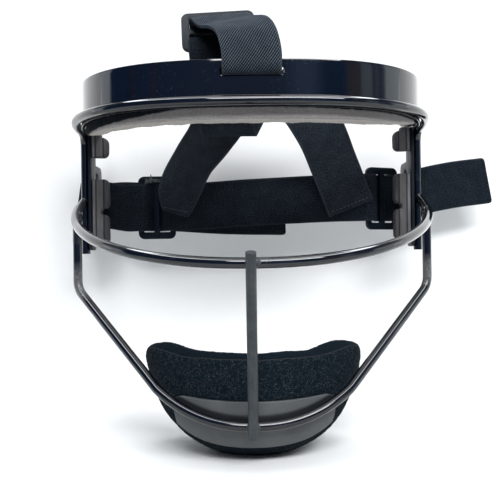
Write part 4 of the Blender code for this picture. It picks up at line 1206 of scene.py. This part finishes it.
def sewn_row(name, middle, across, out):
    """One row of stitches across a strap, lying in its face."""
    count = int((STRAP_WIDTH - 3 * MM) / (STITCH_LENGTH + STITCH_GAP))
    turn = Matrix((across, out.cross(across), out)).transposed().to_4x4()
    row = []
    for k in range(count):
        spot = middle + across * (k - (count - 1) / 2) * (STITCH_LENGTH + STITCH_GAP)
        row.append(copied(stitch, f"{name}_{k}", Matrix.Translation(spot) @ turn))
    return join(name, row)


def strap(name, path, widths, material, cut=SEWN_CORNER, sewn=()):
    """A strap of even thickness along a path, mapped in metres across and along, its edges rounded."""
    path, widths = finer_ends(path, widths)
    reach = [0.0]
    for a, b in zip(path, path[1:]):
        reach.append(reach[-1] + (b - a).length)
    rows, marks, sewing = [], [], []
    for k, (p, across) in enumerate(zip(path, widths)):
        along = (path[min(k + 1, len(path) - 1)] - path[max(k - 1, 0)]).normalized()
        face = across.cross(along).normalized()
        corner = max(cut - min(reach[k], reach[-1] - reach[k]), 0.0)
        half = STRAP_WIDTH / 2 - cut + sqrt(max(cut**2 - corner**2, 0.0))
        row, mark = [], []
        for column in range(STRAP_COLUMNS + 1):
            t = column / STRAP_COLUMNS
            share = sin((t - 0.5) * pi) * 0.35 + (t * 2 - 1) * 0.65
            curl = STRAP_CURL * noise.noise(Vector((reach[k] * 90, share * 2, reach[-1] * 7)))
            row.append(p + across * (share * half) + face * curl)
            mark.append((share * half, reach[k]))
        rows.append(row)
        marks.append(mark)
        sewing.append((p, across.normalized(), along, face))
    made = skin(name, rows, marks=marks)
    give_wall(made, STRAP_WALL)
    ease_edges(made, STRAP_EDGE, 2, 60)
    made.data.materials.append(material)
    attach(made, "root")
    seams = []
    for number, want in enumerate(sewn):
        k = min(range(len(reach)), key=lambda m: abs(reach[m] - want))
        p, across, along, face = sewing[k]
        p = p + along * (want - reach[k]) - face * (STRAP_WALL / 2 + STITCH_THICK * 0.1)
        seams.append(sewn_row(f"{name}_seam_{number}", p, across, -face))
    for seam_and_rib_shade in seams:
        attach(seam_and_rib_shade, "root")
    return made, seams


def woven(name, dark, light, pitch, turn, lines, low, high):
    """Webbing: twill lines at a turn from its length, in raised threads, with fluff and a firm selvedge."""
    cloth = finish(name, dark, 0.85, 0.04)
    uv = node("TexCoord", "UV")
    waver = node("TexNoise", "Color", {"Vector": uv, "Scale": 240.0})
    waver = node("VectorMath", 0, {0: waver, 1: (0.0003, 0.0003, 0.0003)}, operation="MULTIPLY")
    across, along, _ = apart(node("VectorMath", 0, {0: uv, 1: waver}))
    c, s = cos(turn), sin(turn)
    threads = []
    for a, b, size, high_by in ((s, -c, pitch, 0.38), (c, s, pitch * 1.4, 0.12)):
        line = times(plus(times(across, a), times(along, b)), 2 * pi / size)
        threads.append(times(sums("SINE", line), high_by))
    raised = plus(plus(*threads), 0.5)
    fluff = grain(uv, 1500, 4.0, 0.75)
    bright = between(plus(times(raised, lines), fluff), low, high)
    shade = times(bright, between(grain(uv, 130), 0.3, 0.7, 0.6, 1.0))
    selvedge = between(sums("ABSOLUTE", across), STRAP_WIDTH / 2 - 1.1 * MM, STRAP_WIDTH / 2 - 0.7 * MM)
    feed("Base Color", tint(sums("MAXIMUM", shade, times(selvedge, 0.25)), dark, light))
    feed("Normal", relief(fluff, 0.1 * MM, 0.5, relief(raised, 0.2 * MM, 0.7)))
    return cloth


webbing = woven("webbing", (0.001, 0.003, 0.006), (0.05, 0.062, 0.078), THREAD_PITCH, 0.0, 0.3, 0.6, 0.95)

behind_buckle = left_buckle.y + BUCKLE_WALL / 2 + (STRAP_WALL + CLEAR * 2) * 1.75
left, right = -side_plate_x, side_plate_x
turn_y = side_plate_back + STRAP_WALL / 2 + CLEAR
w = STRAP_WALL
route = [
    (STRAP_END_X, behind_buckle + w * 0.267, -STRAP_END_DROP),
    (mix(STRAP_END_X, left_buckle.x, 0.5), behind_buckle + w * 0.267, -STRAP_END_DROP * 0.8),
    (left_buckle.x, behind_buckle, -STRAP_END_DROP * 0.3),
    (mix(left_buckle.x, left, 0.55), mix(behind_buckle, turn_y, 0.35), 0),
    (left + w * 3, turn_y - w * 1.6, 0),
    (left, turn_y + w * 0.533, 0),
    (left - w * 5 + LOOP_IN, turn_y - w * 0.667, 0),
    (left - w * 9.333 + LOOP_IN, turn_y - w * 4.333, 0),
    (left - w * 7.667 + LOOP_IN, side_slot_y + w * 2, 0),
    (left - w * 2.333, side_slot_y, 0),
    (left + w * 2, side_slot_y - w * 0.4, 0),
    *weave(left_buckle, 0, -w * 1.6),
    (0, strap_y + w * 0.8, 0),
    *weave(right_buckle, BUCKLE_RIGHT_TURN, STRAP_TAIL_RISE * 0.155),
    (right - w * 1.333, side_slot_y + w * 0.333, STRAP_TAIL_RISE * 0.2),
    (right + w * 2.667, side_slot_y + w * 0.133, STRAP_TAIL_RISE * 0.36),
    (right + STRAP_TAIL * 0.5, side_slot_y + w * 1.333, STRAP_TAIL_RISE * 0.74),
    (right + STRAP_TAIL, side_slot_y + w * 2.667, STRAP_TAIL_RISE),
]
path = smooth_path([(x, y, strap_middle + z) for x, y, z in route], STRAP_STEPS)
turns = [STRAP_TAIL_TURN * min(max((p.x - right_buckle.x) / STRAP_TAIL, 0.0), 1.0) for p in path]
leans = [LOOP_LEAN * min(max((left - w * 2 - p.x) / (w * 4), 0.0), 1.0) for p in path]
widths = [Vector((sin(lean - t), 0, cos(lean - t))) for t, lean in zip(turns, leans)]

deselect()
bpy.ops.mesh.primitive_cylinder_add(
    vertices=24, radius=FRAY_RADIUS, depth=FRAY_LENGTH, location=(0, 0, 0), rotation=(0, pi / 2, 0)
)
fray = named("frayed_fold")
bpy.ops.object.transform_apply(location=True, rotation=True, scale=True)
edit_all()
bpy.ops.mesh.bevel(offset=FRAY_RADIUS / 2, segments=2, affect="EDGES")
object_mode()
finer = fray.modifiers.new("finer", "REMESH")
finer.mode = "VOXEL"
finer.voxel_size = 0.16 * MM
apply_all(fray)
roughen(fray, 0.9 * MM, 0.75 * MM, 4.4)
for vertex in fray.data.vertices:
    x, y, z = vertex.co
    tuft = TUFT_HEIGHT * max(1 - abs(x - FRAY_LEFT) / (0.9 * MM), 0.0) * max(z / MM, 0.0)
    vertex.co = (x, y * 0.85, z * (1 - 0.3 * x / (5 * MM)) - 0.02 * x**2 / MM + tuft)
top_bar = left_buckle + Vector((FRAY_LEFT, -FRAY_AHEAD, BUCKLE_HEIGHT / 2 - FRAY_AHEAD))
fray.data.transform(Matrix.Translation(top_bar))
fray.data.shade_smooth()
frayed = finish("frayed_threads", (0.07, 0.076, 0.073), 0.9, 0.05)
tufts = grain(place_of(), 1500, 3.0, 0.7)
feed("Base Color", tint(between(tufts, 0.4, 0.65), (0.012, 0.015, 0.018), (0.11, 0.12, 0.118)))
fray.data.materials.append(frayed)
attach(fray, "root")
back_strap, _ = strap("back_webbing", path, widths, webbing, LOOSE_CORNER)
for made in (back_strap, fray):
    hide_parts("back_strap")

# V straps: two more lengths of the same webbing with painted sheen, sewn flat on the front of the back strap
# and running up and forward to the crown, where they meet in one seam. The left one is turned under at its
# foot.
V_TOP_RISE = 22.0 * MM
V_TOP_AHEAD = 30.0 * MM
V_LEFT_FOOT = (13.2 * MM, 7.7 * MM)
V_RIGHT_FOOT = (19.0 * MM, 8.9 * MM)
V_SEAM_RISE = 2.4 * MM
V_TURNED_UNDER = ((4 * MM, 12 * MM, 1.5), (8 * MM, 26 * MM, 1.8), (1.7 * MM, 10 * MM, 1))
V_LEFT_TOP_X = -2.0 * MM
V_RIGHT_TOP_X = 13.0 * MM
V_LEFT = ((0, 0, 0, 0), (0.0754, 0.1, 0.2375, 12), (0.2211, 0.3, 0.4062, 28))
V_LEFT += ((0.4849, 0.72, 0.5821, 16), (0.7362, 0.92, 0.7654, 6), (1, 1, 1, 0))
V_RIGHT = ((0, 0, 0, 0), (0.0787, 0.02, 0.1343, 0), (0.2247, 0.14, 0.3657, 0))
V_RIGHT += ((0.4719, 0.72, 0.6567, 0), (0.6966, 0.92, 0.8507, 0), (1, 1, 1, 0))

v_top = BROW_HEIGHT + V_TOP_RISE
v_top_y = SIDE_ROD_Y - V_TOP_AHEAD
foot_y = strap_y - weave_swing - STRAP_WALL - CLEAR * 2

# A lighter copy of the webbing for the V straps: painted sheen.
sheen_webbing = woven(
    "webbing_painted_sheen", (0.002, 0.004, 0.008), (0.075, 0.09, 0.108), THREAD_PITCH, 0.0, 0.3, 0.58, 0.95
)
for word, foot_x, foot_z, top_x, rows, level in (
    ("left", left_buckle.x + V_LEFT_FOOT[0], V_LEFT_FOOT[1], V_LEFT_TOP_X, V_LEFT, 0),
    ("right", right_buckle.x - V_RIGHT_FOOT[0], V_RIGHT_FOOT[1], V_RIGHT_TOP_X, V_RIGHT, 1),
):
    foot = Vector((foot_x, foot_y, strap_bottom + foot_z))
    top = Vector((top_x, v_top_y + (STRAP_WALL + CLEAR) * level, v_top))
    spots = [(mix(foot.x, top.x, x), mix(foot.y, top.y, y), mix(foot.z, top.z, z)) for x, y, z, _ in rows]
    path = smooth_path(spots, STRAP_STEPS)
    turns = smooth_path([(k, radians(row[3]), 0) for k, row in enumerate(rows)], STRAP_STEPS)
    widths = across_path(path, [Vector((sin(t.y), cos(t.y), 0)) for t in turns])
    v_strap, seams = strap(f"v_webbing_{word}", path, widths, sheen_webbing, sewn=(V_SEAM_RISE,))
    up, leftward = (path[1] - path[0]).normalized(), widths[0]
    for made in (v_strap, *seams):
        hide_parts(f"v_strap_{word}")
        for vertex in made.data.vertices if word == "left" else ():
            off = vertex.co - path[0]
            rise, share = off.dot(up), 0.5 - off.dot(leftward) / STRAP_WIDTH
            left_in, right_in, drop = (
                most * max(1 - rise / over, 0.0) ** power for most, over, power in V_TURNED_UNDER
            )
            vertex.co += leftward * mix(-left_in, right_in, share) - up * share * drop

# Crown strap and brow loop: the crown strap falls from the V straps' seam behind the brow pad and rises to
# the lower bar of the crown buckle. The brow loop is a coarser twill tape from the buckle over the plate's
# front, through its slot and up again inside.
CROWN_SAG = 9.6 * MM
CROWN_STRAP_LEFT = 0.7 * MM
CROWN_FALL = ((0, 0, 1), (0, 0, 0.7), (0.5, 0.12, 0.36), (0.72, 0.3, 0.08), (0.78, 0.5, 0))
CROWN_FALL += ((0.82, 0.76, 0.1), (0.9, 1, 0.5))
TAPE_PITCH = 0.95 * MM
TAPE_TURN = radians(52)

crown_low = BROW_HEIGHT - CROWN_SAG
buckle_up = Vector((0, cos(CROWN_TILT), sin(CROWN_TILT)))
buckle_front = Vector((0, -sin(CROWN_TILT), cos(CROWN_TILT)))


def on_crown_buckle(along, out):
    """A point beside the crown buckle: along its short side, upwards, and out from its front face."""
    return crown_middle - Vector((CROWN_STRAP_LEFT, 0, 0)) + buckle_up * along + buckle_front * out


front_y = brow_front + pad_inset + BROW_PAD_FRONT + STRAP_WALL / 2 + STRAP_WALL * 2
seam_y = v_top_y - STRAP_WALL - CLEAR
mid_x = (V_LEFT_TOP_X + V_RIGHT_TOP_X) / 2
buckle_x = crown_middle.x
route = []
for x, y, z in CROWN_FALL:
    route.append((mix(mid_x, buckle_x, x), mix(seam_y, front_y, y), mix(crown_low, v_top, z)))
route += [
    (mix(mid_x, buckle_x, 0.98), mix(front_y, crown_middle.y, 0.25), v_top - STRAP_WALL * 2),
    on_crown_buckle(-bar_reach - STRAP_WALL, weave_swing * 1.1),
    on_crown_buckle(-bar_reach * 0.76, weave_swing * 0.98),
    on_crown_buckle(-bar_reach * 0.52, weave_swing * 0.2),
    on_crown_buckle(-bar_reach * 0.52, -weave_swing * 0.5),
]
path = smooth_path(route, STRAP_STEPS)
crown_strap, _ = strap("crown_webbing", path, [Vector((1, 0, 0))] * len(path), webbing)
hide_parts("crown_strap")

slot_z = plate_top - SLOT_DROP
wall_y = brow_front + plate_inset
lift = crown_middle.z - plate_top
window_reach = BUCKLE_WIDTH / 4
rows = (
    ((SLOT_X + w * 0.333, wall_y + PLATE_WALL + w * 2, plate_top + w * 0.667), 0),
    ((SLOT_X, wall_y + PLATE_WALL + w * 1.867, slot_z + w * 2), 0),
    ((SLOT_X, wall_y + PLATE_WALL + w * 0.533, slot_z - w * 0.4), 0),
    ((SLOT_X, wall_y - w * 1.067, slot_z - w * 0.55), 0),
    ((SLOT_X, wall_y - w * 2.6, slot_z + w * 1.0), 0),
    ((SLOT_X, wall_y - w * 3.267, plate_top + w * 0.333), 0),
    ((mix(SLOT_X, buckle_x, 0.12), wall_y - w * 2.4, plate_top + lift * 0.5), 3),
    ((mix(SLOT_X, buckle_x, 0.36), mix(wall_y, crown_middle.y, 0.2), plate_top + lift * 0.86), 9),
    ((mix(SLOT_X, buckle_x, 0.72), mix(wall_y, crown_middle.y, 0.55), plate_top + lift * 1.04), 9),
    (on_crown_buckle(window_reach * 0.95, weave_swing * 1.4), 4),
    (on_crown_buckle(window_reach * 0.8, -weave_swing * 0.4), 3),
    (on_crown_buckle(window_reach * 0.2, -weave_swing * 1.1), 3),
    (on_crown_buckle(-window_reach * 0.5, -weave_swing * 0.95), 3),
)
path = smooth_path([point for point, _ in rows], STRAP_STEPS)
rolls = smooth_path([(k, radians(row[1]), 0) for k, row in enumerate(rows)], STRAP_STEPS)
widths = [Vector((cos(roll.y), 0, sin(roll.y))) for roll in rolls]
tape_light = (0.08, 0.098, 0.12)
twill_tape = woven("twill_tape", (0.003, 0.005, 0.009), tape_light, TAPE_PITCH, TAPE_TURN, 1.0, 0.8, 1.35)
brow_tape, _ = strap("brow_tape", path, widths, twill_tape)
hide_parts("brow_loop")
bpy.data.objects.remove(stitch, do_unlink=True)
